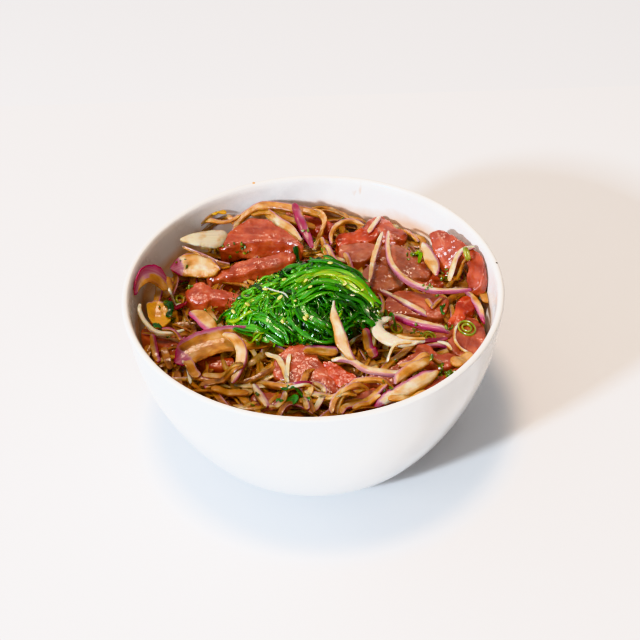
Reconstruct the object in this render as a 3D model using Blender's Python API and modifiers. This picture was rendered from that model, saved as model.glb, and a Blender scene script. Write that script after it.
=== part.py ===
"""Poke bowl: a white porcelain bowl filled with dressed raw tuna, sliced red onion and a heap of seaweed salad.

Metres, +Z up. The origin is the centre of the foot's underside, and -Y is the side that faces the eater.
The food is laid as it is in a kitchen: a bed of small shreds first, then the tuna, then the onion, then the
seaweed, then the last onion on top. Each piece settles on what already lies there, so that none cuts another.
"""

import math
from typing import NamedTuple

import bmesh
import bpy
import numpy as np
from mathutils import Vector, noise

MM = 0.001

# Driving dimensions, in millimetres.
RIM_RADIUS = 85.0
BOWL_HEIGHT = 85.0
FOOT_RADIUS = 42.0
FOOT_WIDTH = 4.0
FOOT_RECESS = 1.5
WALL = 3.0
FLOOR_THICKNESS = 5.0
FLAT_FLOOR_RADIUS = 29.4
BOWL_STEPS = 48
BED_LEVEL = 58.0
BED_LUMP = 1.8
BED_STEPS = 36
BED_RINGS = 9
GAP = 0.35
WALL_GAP = 1.0
CELL = 0.5

# The outer wall as (height, radius): a quick turn above the foot, nearly upright at the rim.
WALL_CURVE = [
    (0, FOOT_RADIUS),
    (3.4, 47.7),
    (10.2, 58.6),
    (21.2, 66.6),
    (38.2, 75.0),
    (59.5, 81.9),
    (BOWL_HEIGHT, RIM_RADIUS),
]

# The heights of the rings along the two sides of the wall, and along the side of the bed.
INSIDE_HEIGHTS = (9, 14, 22, 33, 46, 60, 73)
OUTSIDE_HEIGHTS = (68, 50, 35, 22, 12, 6, 2)
BED_HEIGHTS = (40, 25, 14, 9.5)

# Colours: linear red, green, blue, then roughness.
FINISHES = {
    "porcelain": ((0.86, 0.86, 0.87), 0.12),
    "dressed_shreds": ((0.16, 0.055, 0.02), 0.35),
    "tuna": ((0.42, 0.075, 0.045), 0.3),
    "red_onion": ((0.62, 0.36, 0.20), 0.3),
    "seaweed": ((0.04, 0.22, 0.015), 0.2),
}


def clear_scene():
    for obj in list(bpy.data.objects):
        bpy.data.objects.remove(obj)


def finish(name):
    """The Principled material of that name, made the first time that it is asked for."""
    found = bpy.data.materials.get(name)
    if found:
        return found
    colour, roughness = FINISHES[name]
    made = bpy.data.materials.new(name)
    made.use_nodes = True
    shader = made.node_tree.nodes["Principled BSDF"]
    shader.inputs["Base Color"].default_value = (*colour, 1)
    shader.inputs["Roughness"].default_value = roughness
    shader.inputs["Metallic"].default_value = 0
    return made


def add_object(name, mesh, collection, material):
    obj = bpy.data.objects.new(name, mesh)
    collection.objects.link(obj)
    mesh.materials.append(finish(material))
    mesh.shade_smooth()
    mesh.set_sharp_from_angle(angle=math.radians(40))
    return obj


def outward_mesh(name, body):
    """The bmesh body as a mesh whose faces look outwards."""
    if body.calc_volume(signed=True) < 0:
        bmesh.ops.reverse_faces(body, faces=body.faces)
    mesh = bpy.data.meshes.new(name)
    body.to_mesh(mesh)
    body.free()
    return mesh


def smooth_path(points, spacing):
    """Places about that far apart along a Catmull-Rom curve through the points."""
    p = np.array(points, float)
    ends = [2 * p[0] - p[1], *p, 2 * p[-1] - p[-2]]
    fine = []
    for a, b, c, d in zip(ends, ends[1:], ends[2:], ends[3:]):
        for t in np.linspace(0, 1, 24, endpoint=False):
            bend = (2 * a - 5 * b + 4 * c - d) * t**2 + (3 * b - a - 3 * c + d) * t**3
            fine.append(0.5 * (2 * b + (c - a) * t + bend))
    fine = np.array([*fine, p[-1]])
    along = np.concatenate([[0], np.cumsum(np.linalg.norm(np.diff(fine[:, :2], axis=0), axis=1))])
    wanted = np.linspace(0, along[-1], int(along[-1] / spacing) + 2)
    return np.stack([np.interp(wanted, along, fine[:, k]) for k in range(fine.shape[1])], axis=1)


# The bowl ------------------------------------------------------------------------------------------------------

SMOOTH_WALL = smooth_path(WALL_CURVE, CELL)
WALL_SPREAD = 1.1


def outer_radius(z):
    return float(np.interp(z, SMOOTH_WALL[:, 0], SMOOTH_WALL[:, 1]))


def inner_radius(z):
    """The inner wall: one wall thickness in at the rim, and more where the wall leans towards the floor."""
    return outer_radius(z) - WALL * (1 + WALL_SPREAD * (1 - min(z, BOWL_HEIGHT) / BOWL_HEIGHT) ** 2)


def bowl_profile():
    """(radius, height) from the middle of the floor, up the inside, over the lip and down to the foot."""
    inside = [(0, FLOOR_THICKNESS), (FLAT_FLOOR_RADIUS, FLOOR_THICKNESS + 0.3)]
    inside += [(inner_radius(z), z) for z in INSIDE_HEIGHTS]
    lip = WALL / 2
    turn = [
        (RIM_RADIUS - lip - lip * math.cos(a), BOWL_HEIGHT - lip + lip * math.sin(a))
        for a in np.linspace(0, math.pi, 5)
    ]
    outside = [(outer_radius(z), z) for z in OUTSIDE_HEIGHTS]
    foot = [
        (FOOT_RADIUS, 0),
        (FOOT_RADIUS - FOOT_WIDTH, 0),
        (FOOT_RADIUS - FOOT_WIDTH - FOOT_RECESS, FOOT_RECESS),
        (0, FOOT_RECESS),
    ]
    return inside + turn + outside + foot


def turned(name, profile, collection, material, steps):
    """A shape turned about the Z axis from a profile of (radius, height) that starts and ends on the axis."""
    mesh = bpy.data.meshes.new(name)
    points = [(r * MM, 0, z * MM) for r, z in profile]
    mesh.from_pydata(points, [(i, i + 1) for i in range(len(points) - 1)], [])
    obj = add_object(name, mesh, collection, material)
    screw = obj.modifiers.new("turn", "SCREW")
    screw.steps = screw.render_steps = steps
    screw.use_merge_vertices = True
    screw.merge_threshold = 0.00005
    return obj


# The bed of shreds ---------------------------------------------------------------------------------------------


def bed_height(x, y):
    """The uneven top of the bed, in millimetres."""
    lump = noise.noise(Vector((x / 13, y / 13, 3.1))) + 0.4 * noise.noise(Vector((x / 6, y / 6, 8.4)))
    return BED_LEVEL + BED_LUMP * lump


def add_bed(collection):
    """The shreds as one body, from the bowl's inner wall up to their uneven top."""
    edge = inner_radius(BED_LEVEL - 2 * BED_LUMP) - WALL_GAP
    top = [(edge * i / BED_RINGS, BED_LEVEL) for i in range(BED_RINGS + 1)]
    side = [(inner_radius(z) - WALL_GAP, z) for z in BED_HEIGHTS]
    bottom = FLOOR_THICKNESS + WALL_GAP
    profile = top + side + [(FLAT_FLOOR_RADIUS - WALL_GAP, bottom), (0, bottom)]
    lathe = turned("dressed_shreds", profile, collection, "dressed_shreds", BED_STEPS)
    graph = bpy.context.evaluated_depsgraph_get()
    mesh = bpy.data.meshes.new_from_object(lathe.evaluated_get(graph))
    bpy.data.objects.remove(lathe)
    for vertex in mesh.vertices:
        if vertex.co.z > (BED_LEVEL - 0.1) * MM:
            vertex.co.z = bed_height(vertex.co.x / MM, vertex.co.y / MM) * MM
    return add_object("dressed_shreds", mesh, collection, "dressed_shreds")


# Settling ------------------------------------------------------------------------------------------------------


class Surface:
    """The height of whatever lies in the bowl so far, on a fine grid."""

    def __init__(self):
        margin = 6
        self.middle = int((RIM_RADIUS + margin) / CELL)
        side = [(k - self.middle) * CELL for k in range(2 * self.middle + 1)]
        self.height = np.array([[bed_height(x, y) + CELL for y in side] for x in side])

    def cell(self, along):
        return np.rint(np.asarray(along) / CELL).astype(int) + self.middle

    def under(self, x, y):
        """The highest thing within a cell of each point."""
        i, j = self.cell(x), self.cell(y)
        return np.max([self.height[i + a, j + b] for a in (-1, 0, 1) for b in (-1, 0, 1)], axis=0)

    def near(self, x, y, reach):
        """The highest thing within reach of one point."""
        i, j, r = int(self.cell(x)), int(self.cell(y)), int(reach / CELL)
        return self.height[i - r : i + r + 1, j - r : j + r + 1].max()

    def cover(self, x, y, z):
        """Raises the surface to z at each point."""
        np.maximum.at(self.height, (self.cell(x), self.cell(y)), z)

    def cover_round(self, x, y, z, reach):
        """Raises the surface to z all round one point."""
        i, j, r = int(self.cell(x)), int(self.cell(y)), int(reach / CELL)
        patch = self.height[i - r : i + r + 1, j - r : j + r + 1]
        np.maximum(patch, z, out=patch)


class Cut(NamedTuple):
    """How one kind of food is cut: its section, how its ends taper, how uneven it is and how much it bends."""

    material: str
    sides: int
    rings: int
    square: float
    end_width: float
    end_thickness: float
    uneven: float
    stiff: int


CHUNK = Cut("tuna", 8, 6, 0.75, 0.45, 0.5, 0.22, 30)
SLICE = Cut("tuna", 8, 7, 0.5, 0.5, 0.6, 0.13, 15)
STRIP = Cut("red_onion", 4, 10, 0.25, 0.55, 0.8, 0.05, 5)
PETAL = Cut("red_onion", 8, 8, 0.75, 0.3, 0.7, 0.05, 12)


class Piece:
    """A piece of food laid along a path of (x, y), or (x, y, z) where it is held up at least that high, in mm."""

    def __init__(self, name, cut, path, wide, thick, roll=0.0, cup=0.0):
        self.name, self.cut = name, cut
        self.path = [(*place, 0)[:3] for place in path]
        self.wide, self.thick, self.cup = wide, thick, cup
        self.roll = math.radians(roll)

    def bump(self, s, angle):
        """How much fuller or thinner the piece is at one place, as a share."""
        seat = Vector((2.2 * s + len(self.name), 0.8 * math.cos(angle), 0.8 * math.sin(angle) + self.wide))
        return self.cut.uneven * noise.noise(seat + Vector(self.path[0]) * 0.37) * 2

    def section(self, s, angle):
        """(offset to the left of the path, height above it) of the surface at s along it and that angle round it."""
        swell = max(0.0, 1 - abs(2 * s - 1) ** 2.4) ** 0.6
        wide = self.wide * (self.cut.end_width + (1 - self.cut.end_width) * swell)
        thick = self.thick * (self.cut.end_thickness + (1 - self.cut.end_thickness) * swell)
        c, h = math.cos(angle), math.sin(angle)
        across = math.copysign(abs(c) ** self.cut.square, c)
        above = math.copysign(abs(h) ** self.cut.square, h)
        fuller = 1 + self.bump(s, angle)
        offset = wide / 2 * across * fuller
        height = thick / 2 * above * fuller + self.cup * (wide / self.wide) * (across**2 - 0.4)
        return (
            offset * math.cos(self.roll) - height * math.sin(self.roll),
            offset * math.sin(self.roll) + height * math.cos(self.roll),
        )

    def shape(self):
        """Every ring's surface points as (x, y, height above the path), inside the wall, and its least height."""
        line = smooth_path(self.path, 0.5)
        heading = np.gradient(line[:, :2], axis=0)
        heading /= np.linalg.norm(heading, axis=1)[:, None]
        share = np.linspace(0, 1, len(line))
        even = np.linspace(0, 1, self.cut.rings + 1)
        turn = math.pi / self.cut.sides
        points = np.zeros((len(even), self.cut.sides, 3))
        least = np.zeros(len(even))
        for k, s in enumerate(0.5 * even + 0.25 * (1 - np.cos(math.pi * even))):
            x, y, least[k] = (np.interp(s, share, line[:, axis]) for axis in range(3))
            dx, dy = (np.interp(s, share, heading[:, axis]) for axis in range(2))
            for j in range(self.cut.sides):
                offset, height = self.section(s, turn * (2 * j + 1))
                px, py = x - dy * offset, y + dx * offset
                reach = inner_radius(max(BED_LEVEL, least[k]) + height) - WALL_GAP
                inward = min(1.0, reach / math.hypot(px, py))
                points[k, j] = px * inward, py * inward, height
        return points, least

    def settle(self, surface):
        """Lowers the piece until it rests on what is below it or is held, bending no more than it can."""
        points, least = self.shape()
        closed = np.concatenate([points, points[:, :1]], axis=1)
        down = int(np.linalg.norm(np.diff(closed, axis=0), axis=2).max() / CELL) + 2
        around = int(np.linalg.norm(np.diff(closed, axis=1), axis=2).max() / CELL) + 2
        u = np.linspace(0, 1, down)[:, None, None]
        v = np.linspace(0, 1, around)[None, :, None]
        spans = []
        for k in range(self.cut.rings):
            a, b = closed[k], closed[k + 1]
            quads = [
                (1 - u) * ((1 - v) * a[j] + v * a[j + 1]) + u * ((1 - v) * b[j] + v * b[j + 1])
                for j in range(self.cut.sides)
            ]
            spans.append(np.stack(quads))
        needed = [(surface.under(q[..., 0], q[..., 1]) + GAP - q[..., 2]).max(axis=(0, 2)) for q in spans]
        part = u[:, 0, 0]
        high = np.array([max([n.max() for n in needed[max(k - 1, 0) : k + 1]]) for k in range(self.cut.rings + 1)])
        for _ in range(self.cut.stiff):
            for k in range(self.cut.rings + 1):
                lowest = -1e9
                if k > 0:
                    lowest = max(lowest, ((needed[k - 1] - (1 - part) * high[k - 1])[1:] / part[1:]).max())
                if k < self.cut.rings:
                    lowest = max(lowest, ((needed[k] - part * high[k + 1])[:-1] / (1 - part[:-1])).max())
                inner = 0 < k < self.cut.rings
                wanted = (high[k - 1] + high[k + 1]) / 2 if inner else high[1 if k == 0 else k - 1] - 1.5
                high[k] = max(lowest, wanted)
        high = np.maximum(high, least)
        for k, quads in enumerate(spans):
            z = quads[..., 2] + ((1 - part) * high[k] + part * high[k + 1])[None, :, None]
            surface.cover(quads[..., 0].ravel(), quads[..., 1].ravel(), z.ravel())
        points[..., 2] += high[:, None]
        self.points = points

    def mesh(self):
        """A cylinder cut into rings, with each ring's points moved to their settled places."""
        rings, sides = self.cut.rings, self.cut.sides
        body = bmesh.new()
        bmesh.ops.create_cone(body, cap_ends=True, segments=sides, radius1=1, radius2=1, depth=1)
        for k in range(1, rings):
            everything = body.verts[:] + body.edges[:] + body.faces[:]
            bmesh.ops.bisect_plane(body, geom=everything, plane_co=(0, 0, k / rings - 0.5), plane_no=(0, 0, 1))
        for vertex in body.verts:
            k = round((vertex.co.z + 0.5) * rings)
            j = round(math.atan2(vertex.co.y, vertex.co.x) / (2 * math.pi) * sides) % sides
            vertex.co = Vector(self.points[k, j]) * MM
        return outward_mesh(self.name, body)


# The seaweed salad ---------------------------------------------------------------------------------------------

HEAP_CENTRE = (-6.0, 5.0)
HEAP_LENGTH = 37.0
HEAP_WIDTH = 27.0
HEAP_TAPER = 0.25
HEAP_BASE = 66.0
HEAP_HEIGHT = 17.0


def add_seaweed(surface, collection):
    """The heap of strands as one body: a dome with an uneven top, whose underside lies on what is below it."""
    body = bmesh.new()
    bmesh.ops.create_uvsphere(body, u_segments=24, v_segments=11, radius=1)
    tops = []
    for vertex in body.verts:
        u, v, up = vertex.co
        bulge = 1 + 0.04 * math.sin(5 * math.atan2(v, u) + 0.6)
        x = HEAP_CENTRE[0] + HEAP_LENGTH * u * bulge
        y = HEAP_CENTRE[1] + HEAP_WIDTH * v * bulge * (1 + HEAP_TAPER * u) + 0.1 * HEAP_LENGTH * u
        rest = surface.near(x, y, 4.5) + GAP
        lump = 2.0 * noise.noise(Vector((x / 9, y / 9, 5.5)))
        dome = HEAP_BASE + (HEAP_HEIGHT + lump) * max(up, 0.0) ** 0.8
        z = rest if up < -0.05 else max(rest + 1.5, dome)
        if up > -0.05:
            tops.append((x, y, z))
        vertex.co = Vector((x, y, z)) * MM
    for x, y, z in tops:
        surface.cover_round(x, y, z, 3.5)
    return add_object("seaweed_salad", outward_mesh("seaweed_salad", body), collection, "seaweed")


# The pieces, in the order in which they are laid ----------------------------------------------------------------

TUNA = [
    Piece("tuna_back_left_big", SLICE, [(-41, 51), (-24, 56), (-4, 49)], 18, 9, roll=10),
    Piece("tuna_back_left_long", SLICE, [(-51, 27), (-30, 29), (-8, 37)], 12, 8, roll=12),
    Piece("tuna_left_chunk", CHUNK, [(-58, 14), (-46, 17), (-34, 11)], 11, 8, roll=8),
    Piece("tuna_left_edge", SLICE, [(-76, -9), (-67, -14), (-56, -18)], 10, 5),
    Piece("tuna_front_left", CHUNK, [(-52, -27), (-44, -28), (-36, -26)], 9, 7),
    Piece("tuna_front_left_low", CHUNK, [(-26, -54), (-19, -55), (-12, -58)], 8, 6),
    Piece("tuna_front_middle", CHUNK, [(-7, -20), (-7, -33), (-2, -47)], 22, 9),
    Piece("tuna_front_small", CHUNK, [(5, -33), (11, -38), (20, -44)], 11, 7),
    Piece("tuna_front_low", CHUNK, [(17, -58), (25, -55), (32, -51)], 8, 5),
    Piece("tuna_front_long", SLICE, [(16, -48), (31, -42), (47, -28)], 10, 6),
    Piece("tuna_front_right_wet", CHUNK, [(44, -33), (51, -30), (58, -33)], 10, 7),
    Piece("tuna_front_right_rim", SLICE, [(45, -53), (54, -48), (62, -42)], 5, 4),
    Piece("tuna_right_flat", SLICE, [(70, -1), (71, -14), (67, -26)], 18, 6, roll=8),
    Piece("tuna_right_dark", SLICE, [(33, -7), (46, -13), (59, -17)], 12, 6),
    Piece("tuna_right_folded", SLICE, [(60, -9), (62, 1), (69, 5), (74.5, -1)], 7, 5),
    Piece("tuna_right_rough", CHUNK, [(35, 12), (46, 8), (57, 5)], 13, 7),
    Piece("tuna_right_small", CHUNK, [(48, 26), (54, 24), (61, 21)], 7, 6),
    Piece("tuna_right_back_dark", SLICE, [(25, 32), (33, 26), (42, 18)], 10, 6),
    Piece("tuna_right_striped", SLICE, [(32, 42), (44, 38), (57, 29)], 15, 6, roll=10),
    Piece("tuna_right_upright", SLICE, [(54, 42, 64), (63, 39, 66), (71, 29, 68), (73, 20, 67)], 18, 4.5, roll=60),
    Piece("tuna_back_dark", SLICE, [(12, 46), (20, 45), (28, 43)], 9, 6),
    Piece("tuna_back_middle", CHUNK, [(11, 57), (20, 58), (29, 59)], 11, 8, roll=10),
    Piece("tuna_back_right", CHUNK, [(29, 70), (37, 67), (45, 60)], 11, 8, roll=10),
    Piece("tuna_back_small", CHUNK, [(-14, 71), (-4, 68), (7, 64)], 9, 6),
]

# The long arc of onion that stands up the back wall.
BACK_ARC = [(-38, 63, 67), (-34, 70, 73), (-26, 74.5, 77), (-18, 76, 77.5), (-10, 75.5, 77), (-1, 73, 75)]

ONION_UNDER = [
    Piece("onion_left_fan", PETAL, [(-67, 36), (-56, 38), (-43, 33)], 15, 2.5, roll=15, cup=1.5),
    Piece("onion_back_left_dark", STRIP, [(-62, 46), (-51, 45), (-40, 40)], 5, 2.5),
    Piece("onion_back_left_wedge", PETAL, [(-61, 51, 69), (-52, 56, 68), (-43, 58, 68)], 9, 4),
    Piece("onion_back_left_edge", STRIP, [(-57, 54, 80), (-51, 59, 77), (-43, 62, 73)], 5, 3),
    Piece("onion_left_yellow", PETAL, [(-73, 14), (-70, 6), (-64, -3)], 14, 3),
    Piece("onion_left_ribbon", PETAL, [(-58, 6, 64), (-51, 5, 65), (-45, -2, 65), (-42, -10, 64)], 8, 2.5),
    Piece("onion_left_hook", STRIP, [(-79, 11, 70), (-79, 2, 70), (-74, -6, 68), (-68, -9, 66), (-58, -4, 64)], 2, 2),
    Piece("onion_left_curled", PETAL, [(-77, 7, 76), (-75, 15, 78), (-67, 20, 74)], 12, 2.5, roll=50, cup=2.5),
    Piece("onion_back_right_arc", STRIP, [(9, 56), (10, 65), (17, 71), (25, 68)], 4, 2.5),
    Piece("onion_back_bent", STRIP, [(3, 73, 70), (7, 71, 70), (8, 65, 69), (3, 52)], 4, 2.5),
    Piece("onion_back_arc", STRIP, BACK_ARC, 4, 3.5),
    Piece("onion_back_cream", PETAL, [(-24, 70, 74), (-16, 65, 71), (-5, 57, 67)], 8, 3.5),
    Piece("onion_back_magenta", STRIP, [(-6, 67.5, 75), (-3, 60, 71), (1, 51)], 4.5, 4),
    Piece("onion_right_straight", STRIP, [(35, 58), (30, 42), (27, 22)], 4, 2.5),
    Piece("onion_right_standing", PETAL, [(51, 42), (54, 32), (58, 20)], 7, 3),
    Piece("onion_right_long_arc", STRIP, [(38, 58), (37, 42), (41, 30), (50, 20), (62, 15), (74, 14)], 4, 3),
    Piece("onion_right_edge", STRIP, [(70, 12), (74, 1), (77, -11)], 4.5, 2.5),
    Piece("onion_right_thin", STRIP, [(31, 18), (40, 8), (48, 1), (56, -3)], 4, 2.5),
    Piece("onion_right_magenta", STRIP, [(33, 2), (42, -6), (51, -11), (61, -14)], 5, 4),
    Piece("onion_right_low", STRIP, [(42, -22), (51, -22), (61, -21)], 3.5, 2.5),
    Piece("onion_front_loop", STRIP, [(7, -64), (10, -56), (17, -51), (26, -50), (33, -52)], 4, 2.5),
    Piece("onion_front_s", STRIP, [(7, -37), (15, -38), (22, -44), (33, -46), (41, -42)], 4, 3),
    Piece("onion_front_right_cream", PETAL, [(33, -48), (41, -39), (50, -34)], 7.5, 2.5),
    Piece("onion_front_right_big", PETAL, [(27, -61), (36, -55), (45, -50), (54, -44)], 10, 4),
    Piece("onion_front_wet", STRIP, [(-27, -37), (-14, -47), (-2, -46)], 4, 3),
    Piece("onion_front_left_bar", STRIP, [(-48, -35), (-40, -35), (-33, -36)], 4, 2.5),
    Piece("onion_left_petal", PETAL, [(-60, -28), (-55, -21), (-42, -16), (-29, -16), (-16, -19)], 13, 2.5, roll=28),
    Piece("onion_front_left_cross", STRIP, [(-38, -12), (-33, -22), (-33, -32), (-37, -44)], 5, 2.5),
    Piece("onion_front_upright", STRIP, [(-29, -37), (-31, -46), (-30, -56)], 4.5, 2.5),
    Piece("onion_front_upright_purple", STRIP, [(-27, -42), (-24, -51), (-21, -58)], 4, 2.5),
    Piece("onion_front_curl", STRIP, [(-25, -25), (-21, -19), (-12, -12)], 3.5, 2.5),
]

ONION_OVER = [
    Piece("onion_right_bulb", PETAL, [(35, -8), (28, -13), (29, -21), (36, -27), (48, -28)], 7, 4),
    Piece("onion_seaweed_pointed", PETAL, [(9, -8), (10, -19), (13, -31), (20, -43)], 6, 3),
]


def lay(pieces, surface, collection):
    for piece in pieces:
        piece.settle(surface)
        add_object(piece.name, piece.mesh(), collection, piece.cut.material)


def main():
    clear_scene()
    food = bpy.data.collections.new("poke_bowl")
    bpy.context.scene.collection.children.link(food)
    turned("bowl", bowl_profile(), food, "porcelain", BOWL_STEPS)
    add_bed(food)
    surface = Surface()
    lay(TUNA, surface, food)
    lay(ONION_UNDER, surface, food)
    add_seaweed(surface, food)
    lay(ONION_OVER, surface, food)


main()
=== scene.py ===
"""Poke bowl: raw tuna, dressed red onion and seaweed salad in a white porcelain bowl.

The sections follow the order in which the bowl is filled. Sizes are in millimetres, and become metres in
each mesh.
"""

import math

import bpy
import numpy as np
from mathutils import Matrix, Vector, noise


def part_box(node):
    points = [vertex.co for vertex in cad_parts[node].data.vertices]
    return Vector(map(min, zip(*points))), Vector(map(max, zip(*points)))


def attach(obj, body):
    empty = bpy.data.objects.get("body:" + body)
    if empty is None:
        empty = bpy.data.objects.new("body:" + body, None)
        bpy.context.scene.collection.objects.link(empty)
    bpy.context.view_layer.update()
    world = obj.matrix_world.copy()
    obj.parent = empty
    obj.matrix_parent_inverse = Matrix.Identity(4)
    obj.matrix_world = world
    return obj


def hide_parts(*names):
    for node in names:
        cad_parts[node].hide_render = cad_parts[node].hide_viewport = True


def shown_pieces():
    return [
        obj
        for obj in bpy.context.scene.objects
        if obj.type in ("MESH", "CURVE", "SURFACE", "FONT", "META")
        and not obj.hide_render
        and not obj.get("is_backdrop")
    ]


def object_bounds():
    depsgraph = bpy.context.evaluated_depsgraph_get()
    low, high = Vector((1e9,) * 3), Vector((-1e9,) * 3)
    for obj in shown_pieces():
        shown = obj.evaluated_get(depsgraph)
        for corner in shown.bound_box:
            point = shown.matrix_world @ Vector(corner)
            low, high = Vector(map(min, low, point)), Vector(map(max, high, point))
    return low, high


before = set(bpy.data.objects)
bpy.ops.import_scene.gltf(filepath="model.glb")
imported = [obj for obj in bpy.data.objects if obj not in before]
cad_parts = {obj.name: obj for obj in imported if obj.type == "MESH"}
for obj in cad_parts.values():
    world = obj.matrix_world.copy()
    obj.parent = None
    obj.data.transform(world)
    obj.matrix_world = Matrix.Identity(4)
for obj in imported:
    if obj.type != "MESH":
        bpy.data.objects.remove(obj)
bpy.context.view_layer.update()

# The bowl -----------------------------------------------------------------------------------------
# White porcelain, pressed and turned, then dipped in clear glaze all over
# but for the foot that stood on the kiln shelf. One disc is pulled up the
# outside, over the lip and down the inside, as the clay is on the wheel.

MM = 0.001
RIM_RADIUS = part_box("bowl")[1].x / MM
BOWL_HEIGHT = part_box("bowl")[1].z / MM
WALL = 3.0
WALL_SPREAD = 1.1
LIP = WALL / 2
FOOT_RADIUS = 42.0
FOOT_WIDTH = 4.0
FOOT_RECESS = 1.5
FLAT_FLOOR_RADIUS = 29.4
FLOOR_HEIGHT = 5.3
BEND_HEIGHT, BEND_MIDDLE = 9, 6.4
FOOT_EDGE = 0.3
WALL_CURVE = [
    (0, FOOT_RADIUS),
    (3.4, 47.7),
    (10.2, 58.6),
    (21.2, 66.6),
    (38.2, 75.0),
    (59.5, 81.9),
    (BOWL_HEIGHT, RIM_RADIUS),
]


def smooth(points, count, closed=False):
    """That many places, evenly spaced, along a smooth curve through the points."""
    p = np.array([*points, points[0]] if closed else points, float)
    ends = [p[-2], *p, p[1]] if closed else [2 * p[0] - p[1], *p, 2 * p[-1] - p[-2]]
    fine = []
    for a, b, c, d in zip(ends, ends[1:], ends[2:], ends[3:]):
        for t in np.linspace(0, 1, 16, endpoint=False):
            bend = (2 * a - 5 * b + 4 * c - d) * t**2 + (3 * b - a - 3 * c + d) * t**3
            fine.append(0.5 * (2 * b + (c - a) * t + bend))
    fine = np.array([*fine, p[-1]])
    along = np.concatenate([[0], np.cumsum(np.linalg.norm(np.diff(fine, axis=0), axis=1))])
    wanted = np.linspace(0, along[-1], count, endpoint=not closed)
    return np.stack([np.interp(wanted, along, fine[:, k]) for k in range(fine.shape[1])], axis=1)


SMOOTH_WALL = smooth(WALL_CURVE, 240)


def outer_radius(z):
    return np.interp(z, SMOOTH_WALL[:, 0], SMOOTH_WALL[:, 1])


def inner_radius(z):
    return outer_radius(z) - WALL * (1 + WALL_SPREAD * (1 - np.minimum(z, BOWL_HEIGHT) / BOWL_HEIGHT) ** 2)


def colour(code):
    """An sRGB hex colour as linear red, green, blue and alpha."""
    parts = [int(code[k : k + 2], 16) / 255 for k in (1, 3, 5)]
    return (*(c / 12.92 if c <= 0.04045 else ((c + 0.055) / 1.055) ** 2.4 for c in parts), 1)


def new_finish(name):
    """A new material of that name, its node tree and its one shader."""
    made = bpy.data.materials.new(name)
    made.use_nodes = True
    return made, made.node_tree, made.node_tree.nodes["Principled BSDF"]


def plug(node, sockets):
    """Gives each of the node's sockets a value, or links it to another node or that node's output."""
    for key, source in sockets.items():
        if isinstance(source, bpy.types.Node):
            source = source.outputs[0]
        if isinstance(source, bpy.types.NodeSocket):
            node.id_data.links.new(source, node.inputs[key])
        else:
            node.inputs[key].default_value = source


# A socket goes by its name, or by its number where that is shorter. A MapRange has its value in 0, the range
# it comes from in 1 and 2 and the one it goes to in 3 and 4. A Mix has its share in 0, colours in 6 and 7.
def add_node(tree, kind, sockets=None, ramp=(), **settings):
    """A shader node with its sockets plugged, its own settings, and its colour stops if it has any."""
    made = tree.nodes.new("ShaderNode" + kind)
    for key, value in settings.items():
        setattr(made, key, value)
    plug(made, sockets or {})
    for k, (place, code) in enumerate(ramp):
        stops = made.color_ramp.elements
        stop = stops[k] if k < len(stops) else stops.new(1)
        stop.position, stop.color = place, colour(code)
    return made


def select_only(*pieces):
    """Selects these pieces and nothing else, and makes the first one active."""
    bpy.ops.object.select_all(action="DESELECT")
    for piece in reversed(pieces):
        piece.select_set(True)
        bpy.context.view_layer.objects.active = piece


def hand_in(piece, name, slot, material, *nodes):
    """Names a finished piece, puts its place into its mesh, gives it its finish and ties it to the frame."""
    select_only(piece)
    bpy.ops.object.transform_apply(location=True, rotation=True, scale=True)
    bpy.ops.object.shade_smooth_by_angle(angle=math.radians(50))
    piece.name = piece.data.name = name
    piece.data.materials.clear()
    piece.data.materials.append(material)
    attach(piece, "root")
    if nodes:
        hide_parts(*nodes)
    return piece


lip_turn = np.linspace(0, math.pi, 11)[1:-1]
profile = [(FOOT_RADIUS - FOOT_WIDTH - FOOT_RECESS, FOOT_RECESS), (FOOT_RADIUS - FOOT_WIDTH, 0.2)]
profile += [(FOOT_RADIUS - FOOT_WIDTH + FOOT_EDGE, 0), (FOOT_RADIUS - FOOT_EDGE, 0)]
profile += [(outer_radius(z), z) for z in [FOOT_EDGE, *np.geomspace(4 * FOOT_EDGE, BOWL_HEIGHT - LIP, 34)]]
profile += [(RIM_RADIUS - LIP + LIP * math.cos(a), BOWL_HEIGHT - LIP + LIP * math.sin(a)) for a in lip_turn]
profile += [(inner_radius(z), z) for z in np.linspace(BOWL_HEIGHT - LIP, BEND_HEIGHT, 30)]
profile += [(0.5 * (inner_radius(BEND_HEIGHT) + FLAT_FLOOR_RADIUS), BEND_MIDDLE)]
profile += [(FLAT_FLOOR_RADIUS, FLOOR_HEIGHT)]

select_only()
first_radius, first_height = profile[0]
bpy.ops.mesh.primitive_circle_add(
    vertices=160, radius=first_radius * MM, location=(0, 0, first_height * MM), fill_type="NGON"
)
bowl = bpy.context.object
bpy.ops.object.mode_set(mode="EDIT")
bpy.ops.mesh.select_all(action="SELECT")
for (r0, z0), (r1, z1) in zip(profile, profile[1:]):
    bpy.ops.mesh.extrude_region_move(TRANSFORM_OT_translate={"value": (0, 0, (z1 - z0) * MM)})
    bpy.ops.transform.resize(value=(r1 / r0, r1 / r0, 1), center_override=(0, 0, z1 * MM))
bpy.ops.mesh.select_all(action="SELECT")
bpy.ops.mesh.normals_make_consistent(inside=False)
bpy.ops.object.mode_set(mode="OBJECT")

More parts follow.
